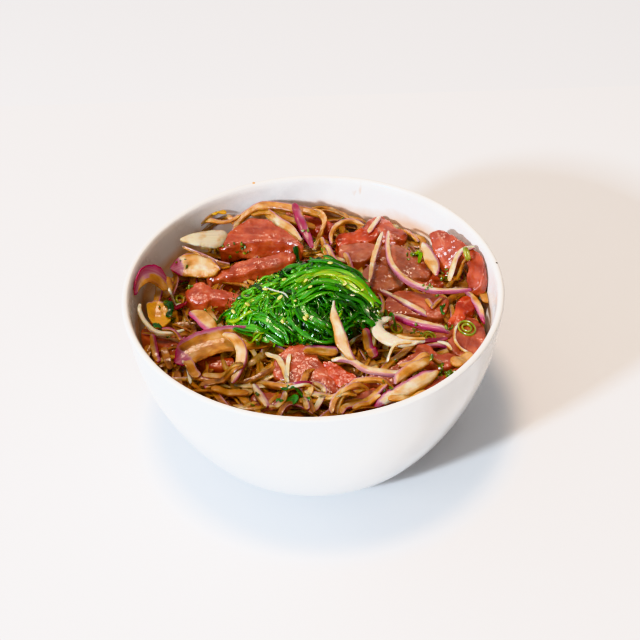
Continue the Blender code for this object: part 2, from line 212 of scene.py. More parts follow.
# Feldspathic glaze over white porcelain, fired glossy: a hard clear gloss on a body that is a little soft
# to light. Inside, above the food, the dressing has left a thin cloudy film and a few faint orange smears.
glaze, tree, shader = new_finish("glazed_porcelain")
coordinates = add_node(tree, "TexCoord")
place = coordinates.outputs["Object"]
where = add_node(tree, "SeparateXYZ", {0: place})
cloud = add_node(tree, "TexNoise", {0: place, "Scale": 55, "Detail": 5, "Roughness": 0.6})
stretch = add_node(tree, "Mapping", {0: place, "Scale": (1, 1, 0.45), "Location": (0.31, 0.12, 0)})
smear = add_node(tree, "TexNoise", {0: stretch, "Scale": 95, "Detail": 3, "Roughness": 0.5})
above = add_node(tree, "MapRange", {0: where.outputs["Z"], 1: 0.056, 2: 0.066, 3: 0, 4: 1})
radius = add_node(tree, "VectorMath", {0: place, 1: (1, 1, 0)}, operation="MULTIPLY")
facing = add_node(tree, "VectorMath", {0: radius, 1: coordinates.outputs["Normal"]}, operation="DOT_PRODUCT")
inside = add_node(tree, "MapRange", {0: facing.outputs["Value"], 1: -0.02, 2: -0.05, 3: 0, 4: 1})
wetted = add_node(tree, "Math", {0: above, 1: inside}, operation="MULTIPLY")
cloudy = add_node(tree, "MapRange", {0: cloud, 1: 0.42, 2: 0.7, 3: 0, 4: 0.4})
film = add_node(tree, "Math", {0: cloudy, 1: wetted}, operation="MULTIPLY")
spots = add_node(tree, "MapRange", {0: smear, 1: 0.71, 2: 0.78, 3: 0, 4: 0.55})
shore = add_node(tree, "TexNoise", {0: place, "Scale": 60, "Detail": 3})
level = add_node(tree, "Math", {0: shore, 1: 0.012}, operation="MULTIPLY")
height = add_node(tree, "Math", {0: where.outputs["Z"], 1: level}, operation="SUBTRACT")
tide = add_node(tree, "MapRange", {0: height, 1: 0.0605, 2: 0.0665, 3: 0.6, 4: 0})
soiled = add_node(tree, "Math", {0: spots, 1: tide}, operation="MAXIMUM")
stain = add_node(tree, "Math", {0: soiled, 1: wetted}, operation="MULTIPLY")
body = add_node(tree, "Mix", {0: film, 6: colour("#f1efed"), 7: colour("#c4bfbe")}, data_type="RGBA")
stained = add_node(tree, "Mix", {0: stain, 6: body.outputs[2], 7: colour("#c98f52")}, data_type="RGBA")
gloss = add_node(tree, "MapRange", {0: film, 1: 0, 2: 0.3, 3: 0.09, 4: 0.4})
ripple = add_node(tree, "TexNoise", {0: place, "Scale": 28, "Detail": 2})
skin = add_node(tree, "Bump", {"Height": ripple, "Strength": 0.05, "Distance": 0.002})
plug(shader, {
    "Base Color": stained.outputs[2], "Roughness": gloss, "Normal": skin, "IOR": 1.52,
    "Subsurface Weight": 0.06, "Subsurface Radius": (0.004, 0.004, 0.004), "Subsurface Scale": 0.5,
})
hand_in(bowl, "porcelain_bowl", "porcelain", glaze, "bowl")

# The bed of shreds --------------------------------------------------------------------------------
# Shaved onion and scraps of tuna, soaked brown in soy dressing: they fill
# the bowl up to the pieces that show. The body below is one dark, lumpy
# core, a little lower than the bed, and the loose shreds lie in its top.


def merged_copy(node, name):
    """A copy of a CAD node to work on, with its loose triangles joined and paired into four-sided faces."""
    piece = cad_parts[node].copy()
    piece.data = piece.data.copy()
    piece.parent = None
    for key in list(piece.keys()):
        del piece[key]
    piece.name = name
    bpy.context.scene.collection.objects.link(piece)
    select_only(piece)
    bpy.ops.object.mode_set(mode="EDIT")
    bpy.ops.mesh.select_all(action="SELECT")
    bpy.ops.mesh.remove_doubles(threshold=0.00001)
    bpy.ops.mesh.tris_convert_to_quads(face_threshold=math.pi, shape_threshold=math.pi)
    bpy.ops.object.mode_set(mode="OBJECT")
    return piece


def apply_modifier(piece, kind, **settings):
    """Applies a modifier of that kind, with these settings."""
    select_only(piece)
    made = piece.modifiers.new("shaping", kind)
    for key, value in settings.items():
        setattr(made, key, value)
    bpy.ops.object.modifier_apply(modifier="shaping")


def points_of(piece):
    """The piece's vertices, in millimetres."""
    found = np.empty(len(piece.data.vertices) * 3, np.float32)
    piece.data.vertices.foreach_get("co", found)
    return found.reshape(-1, 3).astype(float) / MM


def move_points(piece, places):
    piece.data.vertices.foreach_set("co", (np.asarray(places) * MM).astype(np.float32).ravel())
    piece.data.update()


def attribute(piece, name, kind, values):
    """Stores a value at each vertex for the piece's finish to read."""
    made = piece.data.attributes.new(name, kind, "POINT")
    key = "vector" if kind == "FLOAT_VECTOR" else "value"
    made.data.foreach_set(key, np.ravel(values).astype(np.float32))


def lumps(places, size, seed):
    """Smooth noise from -1 to 1 with lumps of about that size, in millimetres."""
    shift = Vector((seed * 7.31, seed * 3.17, seed * 5.77))
    return np.array([noise.noise(Vector((*p, 0)[:3]) / size + shift) for p in places])


BED_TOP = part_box("dressed_shreds")[1].z / MM
CORE_RISE = 2.0
core = merged_copy("dressed_shreds", "soaked_core")
apply_modifier(core, "SUBSURF", levels=3, render_levels=3)
spots = points_of(core)
upper = spots[:, 2] > BED_TOP - 6
relief = 1.6 * lumps(spots, 8, 1) + 1.1 * lumps(spots, 3.5, 2) + 0.5 * lumps(spots, 1.8, 3)
spots[upper, 2] += relief[upper] + CORE_RISE
move_points(core, spots)

# Onion and fish soaked in soy: brown, wet and glossy, with paler fibres on the ridges of the relief and dark
# in its grooves, partly the soy and partly painted shade between the packed shreds.
soaked, tree, shader = new_finish("soaked_shreds")
place = add_node(tree, "TexCoord").outputs["Object"]
strand = add_node(tree, "Mapping", {0: place, "Scale": (140, 420, 300), "Rotation": (0, 0, 0.6)})
fibre = add_node(tree, "TexNoise", {0: strand, "Scale": 1, "Detail": 4, "Distortion": 1.5})
tint = add_node(tree, "ValToRGB", {0: fibre}, ramp=[(0.3, "#32140a"), (0.5, "#6b3519"), (0.7, "#a0642f")])
rough = add_node(tree, "Bump", {"Height": fibre, "Strength": 0.8, "Distance": 0.0006})
plug(shader, {
    "Base Color": tint, "Normal": rough, "Roughness": 0.35, "IOR": 1.4, "Coat Weight": 1.0,
    "Coat Roughness": 0.2,
})
hand_in(core, "soaked_core", "dressed_shreds", soaked, "dressed_shreds")

# Loose shreds: thin strips of red onion, 15 to 50 mm long, tangled in the top
# of the bed. Every strip here and below is a closed tube of rounded-square
# section swept along its own line, as a slice follows the bulb's curve.

UPWARD = np.array([0.0, 0.0, 1.0])


def unit(vectors):
    return vectors / np.maximum(np.linalg.norm(vectors, axis=-1, keepdims=True), 1e-9)


def strip(line, wide, thick, sides=6, corner=0.45, roll=0.0, cup=0.0, ends=0.3, tone=0.5, level=None):
    """A strip as rings of points along its line, with each point's place in the grain and across it."""
    line = np.asarray(line, float)
    count = len(line)
    ahead = unit(np.gradient(line, axis=0))
    left = unit(np.cross(UPWARD, ahead)) if level is None else level
    up = unit(np.cross(ahead, left))
    lean = np.broadcast_to(np.radians(roll), (count,))[:, None]
    left, up = left * np.cos(lean) + up * np.sin(lean), up * np.cos(lean) - left * np.sin(lean)
    share = np.linspace(0, 1, count)
    swell = np.maximum(0, 1 - abs(2 * share - 1) ** 6) ** 0.5
    size = (ends + (1 - ends) * swell)[:, None]
    half_wide = np.broadcast_to(wide, (count,))[:, None] / 2 * size
    half_thick = np.broadcast_to(thick, (count,))[:, None] / 2 * np.maximum(size, 0.5)
    turn = (np.arange(sides) + 0.5) * 2 * math.pi / sides
    c, s = np.cos(turn), np.sin(turn)
    across = np.broadcast_to(np.sign(c) * abs(c) ** corner, (count, sides))
    above = np.broadcast_to(np.sign(s) * abs(s) ** corner, (count, sides))
    height = half_thick * above + cup * size * (across**2 - 0.4)
    rings = line[:, None] + (half_wide * across)[..., None] * left[:, None] + height[..., None] * up[:, None]
    gone = np.concatenate([[0], np.cumsum(np.linalg.norm(np.diff(line, axis=0), axis=1))])
    grain = np.stack([np.broadcast_to(gone[:, None], across.shape), half_wide * across, height], axis=-1)
    return {
        "rings": rings,
        "grain": grain,
        "across": across,
        "tone": np.full(across.shape, tone),
        "skin": np.zeros(across.shape),
    }


def new_piece(name, places, faces):
    """A mesh object of that name from places in millimetres and the faces between them."""
    mesh = bpy.data.meshes.new(name)
    mesh.from_pydata((np.asarray(places) * MM).tolist(), [], faces)
    piece = bpy.data.objects.new(name, mesh)
    bpy.context.scene.collection.objects.link(piece)
    return piece


def joined(strips, name):
    """Strips as one mesh object, with their grain, tone and skin stored at each vertex."""
    faces, first = [], 0
    for item in strips:
        count, sides = item["across"].shape
        index = first + np.arange(count * sides).reshape(count, sides)
        after = np.roll(index, -1, axis=1)
        quads = np.stack([index[:-1], after[:-1], after[1:], index[1:]], axis=-1).reshape(-1, 4)
        faces += quads.tolist() + [index[0][::-1].tolist(), index[-1].tolist()]
        first += count * sides
    stacked = {}
    for key in strips[0]:
        stacked[key] = np.concatenate([s[key].reshape(-1, *s[key].shape[2:]) for s in strips])
    piece = new_piece(name, kept_inside(stacked["rings"], WALL_GAP), faces)
    # The tone also shifts the grain, so that no two strips have the same pattern.
    attribute(piece, "across", "FLOAT", abs(stacked["across"]))
    attribute(piece, "grain", "FLOAT_VECTOR", stacked["grain"] + 40 * stacked["tone"][:, None])
    attribute(piece, "tone", "FLOAT", stacked["tone"])
    attribute(piece, "skin", "FLOAT", stacked["skin"])
    return piece


def arc(x, y, z, heading, length, bow, rise, count=12):
    """A bowed line of that length about a place, higher in the middle by rise."""
    along = np.linspace(-0.5, 0.5, count)
    side = bow * (0.25 - along**2) * 4
    h = math.radians(heading)
    return np.stack(
        [
            x + length * along * math.cos(h) - side * math.sin(h),
            y + length * along * math.sin(h) + side * math.cos(h),
            z + rise * (0.25 - along**2) * 4,
        ],
        axis=1,
    )


def kept_inside(places, margin):
    """The places, drawn in where they would come closer than the margin to the bowl's wall."""
    far = np.hypot(places[..., 0], places[..., 1])
    room = inner_radius(places[..., 2]) - margin
    share = np.minimum(1, room / np.maximum(far, 1))[..., None]
    return np.concatenate([places[..., :2] * share, places[..., 2:]], axis=-1)


WALL_GAP = 0.5
SHRED_ROOM = 2.5
BED_RADIUS = 79
dice = np.random.default_rng(7)
# How many strips lie in each layer, and the range of their depth below the bed's top, length, width and tone.
LAYERS = [
    (380, (-2.5, 1.5), (18, 46), (0.9, 2.6), (0.3, 0.95)),
    (190, (-5.0, -2.0), (16, 38), (1.4, 4.0), (0.25, 0.85)),
]
bed = []
for number, deep, long, broad, tones in LAYERS:
    for k in range(number):
        distance = BED_RADIUS * math.sqrt(dice.random())
        angle = dice.uniform(0, 2 * math.pi)
        heading = math.degrees(angle) + 90 + dice.normal(0, 50)
        middle = (distance * math.cos(angle), distance * math.sin(angle), BED_TOP - dice.uniform(*deep))
        line = arc(*middle, heading, dice.uniform(*long), dice.normal(0, 7), dice.uniform(-1, 2.0))
        line[:, 2] += 1.2 * lumps(line, 9, k)
        line = kept_inside(line, SHRED_ROOM)
        wide, thick = dice.uniform(*broad), dice.uniform(0.6, 1.2)
        bed.append(strip(line, wide, thick, sides=8, roll=dice.normal(0, 24), tone=dice.uniform(*tones)))
        bed[-1]["skin"] = bed[-1]["skin"] + wide / 2 * (bed[-1]["across"] - 1) + dice.uniform(-0.7, 0.7)
loose = joined(bed, "loose_shreds")

# Red onion flesh, raw and wet: cream and see-through at a cut edge, amber to
# brown where dressing has soaked in, with fine veins along the slice, and painted shade towards each strip's
# sides. The skin is a glossy purple film, pink at its border and deeper away from it.
onion, tree, shader = new_finish("raw_red_onion")
grain = add_node(tree, "Attribute", attribute_name="grain").outputs["Vector"]
tone = add_node(tree, "Attribute", attribute_name="tone").outputs["Fac"]
skin = add_node(tree, "Attribute", attribute_name="skin").outputs["Fac"]
lengthwise = add_node(tree, "Mapping", {0: grain, "Scale": (0.06, 1.9, 0.8)})
vein = add_node(tree, "TexNoise", {0: lengthwise, "Scale": 1, "Detail": 3, "Roughness": 0.6})
patch = add_node(tree, "TexNoise", {0: grain, "Scale": 0.16, "Detail": 3})
soak = add_node(tree, "MapRange", {0: patch, 1: 0.3, 2: 0.7, 3: -0.3, 4: 0.3})
across = add_node(tree, "Attribute", attribute_name="across").outputs["Fac"]
# Towards each strip's sides the flesh is painted darker and more amber: painted shade on the strip's edges,
# added to the dressing's soak.
edge = add_node(tree, "MapRange", {0: across, 1: 0.55, 2: 1.0, 3: 0, 4: 0.22})
soak_and_side_shade = add_node(tree, "Math", {0: edge, 1: soak}, operation="ADD")
depth = add_node(tree, "Math", {0: tone, 1: soak_and_side_shade}, operation="ADD")
share = add_node(tree, "MapRange", {0: depth, 1: 0, 2: 1.5, 3: 0, 4: 1})
flesh = add_node(tree, "ValToRGB", {0: share}, ramp=[
    (0.0, "#efe0c6"), (0.17, "#e4bd86"), (0.33, "#cd8f42"), (0.5, "#ac6c32"), (0.62, "#744020"),
    (0.76, "#c8842a"), (0.95, "#f4b03a"),
])
lines = add_node(tree, "MapRange", {0: vein, 1: 0.3, 2: 0.7, 3: 0.84, 4: 1.1})
veins = add_node(tree, "VectorMath", {0: flesh, 1: lines}, operation="MULTIPLY")
mottle = add_node(tree, "TexNoise", {0: lengthwise, "Scale": 0.7, "Detail": 2})
ragged = add_node(tree, "MapRange", {0: mottle, 1: 0.3, 2: 0.7, 3: -0.35, 4: 0.35})
inward = add_node(tree, "Math", {0: skin, 1: ragged}, operation="ADD")
reddened = add_node(tree, "MapRange", {0: inward, 1: 0, 2: 4, 3: 0, 4: 1})
purple = add_node(tree, "ValToRGB", {0: reddened}, ramp=[
    (0.0, "#c79aa6"), (0.25, "#b0587e"), (0.6, "#ac1c62"), (1.0, "#8c1048"),
])
fade = add_node(tree, "MapRange", {0: inward, 1: -0.25, 2: 0.4, 3: 0, 4: 0.92})
surface = add_node(tree, "Mix", {0: fade, 6: veins, 7: purple}, data_type="RGBA")
ribs = add_node(tree, "Bump", {"Height": vein, "Strength": 0.2, "Distance": 0.0002})
wet = add_node(tree, "TexNoise", {0: grain, "Scale": 0.4, "Detail": 1.5})
drops = add_node(tree, "Bump", {"Height": wet, "Normal": ribs, "Strength": 1.0, "Distance": 0.0005})
plug(shader, {
    "Base Color": surface.outputs[2], "Normal": ribs, "Coat Normal": drops, "Roughness": 0.35, "IOR": 1.37,
    "Specular IOR Level": 0.3, "Transmission Weight": 0.3, "Subsurface Weight": 0.7,
    "Subsurface Radius": (1.0, 0.6, 0.3), "Subsurface Scale": 0.003, "Coat Weight": 0.6,
    "Coat Roughness": 0.2,
})
hand_in(loose, "loose_shreds", "dressed_shreds", onion)

# The tuna -----------------------------------------------------------------------------------------
# Raw tuna loin, cut in slices and rough chunks 5 to 9 mm thick and tossed in
# dressing. Each has the outline of its cut, sides that slant to the front,
# edges softened by the knife and the dressing, and the muscle's ridges.

# Each piece: how thick it is, how bright, from 0, the dull maroon of the outer
# loin, to 1, a clear red, and the outline of its upper face, once for each flap.
TUNA = {
    "tuna_back_dark": (6, 0.15, [[(13, 46, 66), (14, 51, 67), (22, 52, 67), (31, 50, 67), (30, 44, 66),
        (23, 39, 65), (17, 41, 65)]]),
    "tuna_back_left_big": (8, 0.6, [[(-44, 48, 69), (-42, 54, 71), (-36, 61, 73), (-25, 65, 74),
        (-17, 60, 74), (-10, 53, 73), (-3, 45, 71), (-11, 48, 72), (-22, 49, 72), (-34, 49, 71)]]),
    "tuna_back_left_long": (9, 0.55, [[(-50, 31, 67), (-48, 34, 68), (-38, 36, 69), (-31, 38, 70),
        (-20, 39, 71), (-10, 41, 71), (-8, 36, 70), (-20, 33, 69), (-33, 30, 68), (-46, 28, 67)]]),
    "tuna_back_middle": (7, 0.9, [[(11, 53, 67), (13, 57, 68), (20, 60, 68), (28, 62, 69), (33, 59, 69),
        (31, 53, 68), (22, 52, 67), (14, 51, 67)]]),
    "tuna_back_right": (8, 0.55, [[(26, 64, 68), (30, 69, 69), (36, 69, 69), (41, 62, 69), (46, 59, 68),
        (45, 54, 67), (39, 54, 67), (33, 58, 68)]]),
    "tuna_back_small": (7, 1.0, [[(-14, 73, 70), (-8, 76, 71), (0, 73, 71), (8, 68, 70), (12, 63, 69),
        (7, 60, 67), (0, 63, 68), (-8, 68, 68)]]),
    "tuna_front_left": (8, 0.8, [[(-52, -27, 65), (-46, -24, 66), (-37, -25, 66), (-35, -29, 65),
        (-41, -30, 64), (-49, -29, 64)]]),
    "tuna_front_left_low": (6, 0.2, [[(-28, -48, 64), (-20, -46, 64), (-12, -49, 64), (-11, -54, 63),
        (-20, -56, 63), (-27, -52, 63)]]),
    "tuna_front_long": (7, 0.35, [[(11, -45, 65), (20, -42, 67), (30, -39, 68), (38, -34, 70), (46, -30, 70),
        (48, -33, 69), (44, -37, 68), (38, -41, 67), (34, -45, 66), (24, -45, 65), (14, -47, 64)]]),
    "tuna_front_low": (6, 0.4, [[(12, -51, 63), (20, -48, 64), (30, -47, 65), (33, -51, 64), (24, -55, 63),
        (15, -55, 62)]]),
    "tuna_front_middle": (8, 0.6, [[(-19, -32, 67), (-15, -27, 69), (-7, -23, 71), (-1, -27, 70),
        (3, -33, 68), (8, -40, 66), (10, -46, 64), (4, -48, 63), (-3, -45, 63), (-10, -42, 64),
        (-17, -38, 65)]]),
    "tuna_front_right_rim": (5, 0.5, [[(39, -51, 66), (50, -46, 67), (60, -39, 68), (63, -39, 67),
        (53, -47, 65), (42, -53, 65)]]),
    "tuna_front_right_wet": (8, 0.6, [[(44, -26, 69), (50, -25, 69), (54, -29, 68), (62, -30, 67),
        (60, -36, 67), (53, -37, 66), (48, -33, 67), (44, -31, 68)]]),
    "tuna_front_small": (7, 1.0, [[(3, -33, 69), (8, -34, 69), (14, -39, 68), (19, -43, 67), (16, -45, 66),
        (11, -46, 65), (7, -41, 66), (4, -36, 67)]]),
    "tuna_left_chunk": (9, 0.65, [[(-59, 16, 69), (-57, 18, 71), (-52, 20, 72), (-48, 19, 71), (-46, 17, 70),
        (-40, 16, 70), (-33, 12, 69), (-36, 10, 69), (-45, 11, 69), (-50, 9, 69), (-56, 11, 69)]]),
    "tuna_left_edge": (7, 0.3, [[(-78, -5, 66), (-74, -4, 66), (-68, -7, 66), (-61, -13, 66), (-60, -17, 65),
        (-63, -19, 65), (-71, -14, 65), (-77, -10, 65)]]),
    "tuna_right_back_dark": (6, 0.0, [[(22, 28, 65), (26, 35, 66), (31, 38, 67), (38, 32, 67), (44, 26, 66),
        (42, 20, 66), (34, 18, 65), (26, 20, 65)]]),
    "tuna_right_dark": (6, 0.15, [[(34, -3, 65), (44, -4, 66), (54, -7, 66), (61, -11, 66), (60, -17, 65),
        (50, -20, 64), (42, -17, 64), (36, -10, 64)]]),
    "tuna_right_flat": (6, 0.4, [[(59, -24, 67), (61, -16, 67), (64, -8, 67), (70, -5, 67), (75, -9, 67),
        (76, -17, 67), (74, -24, 66), (69, -29, 66), (63, -29, 66)]]),
    "tuna_right_folded": (6, 1.0, [[(60, -9, 68), (63, -4, 69), (65, 2, 70), (70, 6, 70), (74, 2, 70),
        (73, -2, 69), (68, -4, 69), (68, -8, 68), (63, -10, 67)]]),
    "tuna_right_rough": (7, 0.35, [[(34, 2, 65), (33, 10, 66), (40, 15, 67), (50, 13, 67), (60, 11, 67),
        (62, 3, 67), (56, -3, 66), (46, 0, 65)]]),
    "tuna_right_small": (6, 0.8, [[(47, 24, 66), (54, 27, 67), (60, 23, 67), (61, 19, 66), (52, 20, 65),
        (47, 22, 65)]]),
    "tuna_right_striped": (6, 0.1, [[(31, 40, 68), (36, 48, 69), (43, 44, 70), (50, 36, 70), (56, 30, 69),
        (54, 23, 68), (46, 24, 67), (38, 30, 67), (33, 36, 67)]]),
    "tuna_right_upright": (5, 0.65, [[(55, 40, 80), (59, 41, 82), (64, 38, 82), (70, 31, 82), (74, 26, 82),
        (70, 25, 78), (66, 23, 72), (63, 21, 68), (60, 25, 69), (59, 30, 72), (56, 37, 77)], [(69, 28, 81),
        (74, 26, 82), (78, 19, 82), (78, 11, 79), (75, 7, 73), (71, 9, 71), (70, 13, 72), (71, 18, 76),
        (70, 23, 79)]]),
}

# Raw tuna: deep red muscle under a wet film, finely lined along the grain with pale tissue. Light goes a
# millimetre or two into it. The lines are 2 mm apart, and the film breaks the light into small glints.
muscle, tree, shader = new_finish("raw_tuna")
grain = add_node(tree, "Attribute", attribute_name="grain").outputs["Vector"]
tone = add_node(tree, "Attribute", attribute_name="tone").outputs["Fac"]
lengthwise = add_node(tree, "Mapping", {0: grain, "Scale": (0.05, 0.55, 0.5)})
fibre = add_node(tree, "TexNoise", {
    0: lengthwise, "Scale": 1, "Detail": 4, "Roughness": 0.6, "Distortion": 0.5,
})
blotch = add_node(tree, "TexNoise", {0: grain, "Scale": 0.16, "Detail": 3})
grit = add_node(tree, "TexNoise", {0: grain, "Scale": 0.62, "Detail": 1, "Roughness": 0.5})
dull = add_node(tree, "ValToRGB", {0: blotch}, ramp=[(0.3, "#7e3e2e"), (0.55, "#9e5a42"), (0.8, "#b87854")])
bright = add_node(tree, "ValToRGB", {0: blotch}, ramp=[
    (0.3, "#82200e"), (0.55, "#a4361a"), (0.8, "#bc5630"),
])
meat = add_node(tree, "Mix", {0: tone, 6: dull, 7: bright}, data_type="RGBA")
pale = add_node(tree, "MapRange", {0: fibre, 1: 0.58, 2: 0.76, 3: 0, 4: 0.3})
lined = add_node(tree, "Mix", {0: pale, 6: meat.outputs[2], 7: colour("#d89a78")}, data_type="RGBA")
# Where the fibre noise is low, in the grooves of the relief that the same noise draws as bumps, the meat is
# painted darker: painted shade in the grooves.
deep = add_node(tree, "MapRange", {0: fibre, 1: 0.44, 2: 0.26, 3: 0, 4: 0.45})
shaded = add_node(tree, "Mix", {0: deep, 6: lined.outputs[2], 7: colour("#6e2414")}, data_type="RGBA")
flakes = add_node(tree, "Bump", {"Height": fibre, "Strength": 0.4, "Distance": 0.0002})
glints = add_node(tree, "Bump", {"Height": grit, "Normal": flakes, "Strength": 1.0, "Distance": 0.00055})
plug(shader, {
    "Base Color": shaded.outputs[2], "Normal": flakes, "Coat Normal": glints, "Roughness": 0.38, "IOR": 1.38,
    "Specular IOR Level": 0.2, "Subsurface Weight": 0.35, "Subsurface Radius": (1.0, 0.35, 0.2),
    "Subsurface Scale": 0.002, "Coat Weight": 1.0, "Coat Roughness": 0.2, "Coat IOR": 1.5,
})

OUTLINE_POINTS = 72
KNIFE_ROUND = 0.6
UNDERSIDE = 0.95
SLANT = 0.6
TO_THE_FRONT = (-0.3, -0.95, 0)


def slab(outline, thick, seed):
    """A slice with that outline to its upper face: cut on a slant, softened, and rough along the grain."""
    corners = np.array(outline, float)
    middle = corners.mean(axis=0)
    length, width, outward = np.linalg.svd(corners - middle)[2]
    outward *= np.sign(outward[2])
    width = np.cross(outward, length)
    flat = (corners - middle) @ np.stack([length, width, outward], axis=1)
    slant = SLANT * thick * np.stack([length, width]) @ TO_THE_FRONT
    ring = smooth(flat[:, :2], OUTLINE_POINTS, closed=True)
    ring += 0.9 * np.stack([lumps(ring, 4, seed + 20), lumps(ring, 4, seed + 21)], axis=1)
    select_only()
    bpy.ops.mesh.primitive_circle_add(vertices=OUTLINE_POINTS, radius=MM, fill_type="NGON")
    piece = bpy.context.object
    move_points(piece, np.column_stack([ring, np.zeros(OUTLINE_POINTS)]))
    bpy.ops.object.mode_set(mode="EDIT")
    bpy.ops.mesh.select_all(action="SELECT")
    drop = Vector((*slant, -thick)) * MM
    bpy.ops.mesh.extrude_region_move(TRANSFORM_OT_translate={"value": drop})
    bpy.ops.transform.resize(value=(UNDERSIDE, UNDERSIDE, 1), center_override=drop)
    bpy.ops.mesh.select_all(action="SELECT")
    bpy.ops.mesh.normals_make_consistent(inside=False)
    bpy.ops.object.mode_set(mode="OBJECT")
    apply_modifier(piece, "REMESH", mode="VOXEL", voxel_size=KNIFE_ROUND * MM)
    apply_modifier(piece, "SMOOTH", factor=0.5, iterations=8)
    places = points_of(piece)
    away = np.linalg.norm(places[:, None, :2] - flat[None, :, :2], axis=2)
    weight = 1 / (away + 2) ** 3
    lift = (weight * flat[:, 2]).sum(axis=1) / weight.sum(axis=1)
    places[:, 2] += lift + 0.8 * np.minimum(away.min(axis=1) / 6, 1)
    grain_here = places + 37.0 * seed
    move_points(piece, middle + places @ np.stack([length, width, outward]))
    places = points_of(piece)
    facing = np.empty(len(places) * 3, np.float32)
    piece.data.vertices.foreach_get("normal", facing)
    worked = 0.6 * lumps(places, 9, seed) + 0.2 * lumps(places, 3.4, seed) + 0.14 * lumps(places, 1.5, seed)
    worked += 0.2 * lumps(grain_here * (0.15, 1, 1), 2.2, seed)
    move_points(piece, kept_inside(places + facing.reshape(-1, 3) * worked[:, None], WALL_GAP))
    attribute(piece, "grain", "FLOAT_VECTOR", grain_here)
    return piece


for seed, (node, (thick, bright_here, flaps)) in enumerate(TUNA.items()):
    parts = [slab(outline, thick, seed + 0.5 * k) for k, outline in enumerate(flaps)]
    select_only(*parts)
    if len(parts) > 1:
        bpy.ops.object.join()
    piece = bpy.context.object
    attribute(piece, "tone", "FLOAT", np.full(len(piece.data.vertices), bright_here))
    hand_in(piece, "raw_" + node, "tuna", muscle, node)

# The red onion ------------------------------------------------------------------------------------
# Slices of a small red onion. The narrow strips are cut across the bulb, and follow
# the centre line, width and lean of their CAD solids. The petals are whole pieces
# of one layer, hollow to one side, each spanned between its two long edges. Both
# have the veins of the layer as low ridges, and a thin purple skin along one side.


def rings_in_order(piece):
    """A long piece's vertices, in millimetres, ring by ring: the slowest wave along its edges orders them."""
    places = points_of(piece)
    joins = np.zeros((len(places), len(places)))
    for edge in piece.data.edges:
        a, b = edge.vertices
        joins[a, b] = joins[b, a] = 1
    wave = np.linalg.eigh(np.diag(joins.sum(axis=1)) - joins)[1][:, 1]
    # The thinnest solids have 11 rings of 4 corners, the others 8 corners to a ring.
    sides = 4 if len(places) == 44 else 8
    order = np.argsort(wave).reshape(-1, sides)
    if places[order[0], 0].mean() > places[order[-1], 0].mean():
        order = order[::-1]
    return places[order]


def frame_of(rings):
    """Each ring's centre, the way across it, and its half width and half thickness."""
    centre = rings.mean(axis=1)
    ahead = unit(np.gradient(centre, axis=0))
    left = unit(np.cross(UPWARD, ahead))
    across = np.zeros_like(left)
    for k, ring in enumerate(rings):
        spread = ring - centre[k]
        spread = spread - np.outer(spread @ ahead[k], ahead[k])
        widest = np.linalg.svd(spread)[2][0]
        across[k] = widest * np.sign(widest @ left[k] + 1e-9)
    up = unit(np.cross(ahead, across))
    spread = rings - centre[:, None]
    half_wide = abs(np.einsum("kjc,kc->kj", spread, across)).max(axis=1)
    half_thick = np.ptp(np.einsum("kjc,kc->kj", spread, up), axis=1) / 2
    return centre, across, half_wide, half_thick


# A narrow strip's looks: its tone from 0, cream, to 1, soaked brown; which side its skin
# is on, 1 to the left of its way from low to high X, -1 to the right; how many millimetres
# in the skin reaches; and for how many millimetres the low and the high end are skin.
STRIP_LOOKS = {
    "onion_back_magenta": (0.3, -1, 4.6, 0, 0),
    "onion_back_right_arc": (0.35, 1, 0.9, 0, 0),
    "onion_front_curl": (0.5, 1, 1.0, 2, 3),
    "onion_front_left_bar": (0.4, 0, 0, 0, 0),
    "onion_front_left_cross": (0.3, 1, 1.0, 0, 0),
    "onion_front_loop": (0.45, 1, 0.6, 0, 0),
    "onion_front_s": (0.15, -1, 0.4, 0, 0),
    "onion_front_upright": (0.2, 0, 0, 0, 0),
    "onion_front_upright_purple": (0.25, 1, 1.2, 0, 0),
    "onion_front_wet": (0.5, 1, 1.0, 0, 7),
    "onion_left_hook": (-0.2, 0, 0, 0, 0),
    "onion_left_ribbon": (0.35, -1, 1.8, 0, 0),
    "onion_right_bulb": (-0.25, 0, 0, 0, 0),
    "onion_right_edge": (0.3, -1, 1.0, 0, 5),
    "onion_right_long_arc": (0.2, -1, 0.9, 0, 1),
    "onion_right_low": (0.35, -1, 1.0, 0, 0),
    "onion_right_magenta": (0.15, -1, 1.9, 0, 0),
    "onion_right_standing": (0.15, 1, 1.3, 0, 0),
    "onion_right_straight": (0.2, 1, 0.5, 0, 0),
    "onion_right_thin": (0.25, -1, 0.8, 0, 0),
}

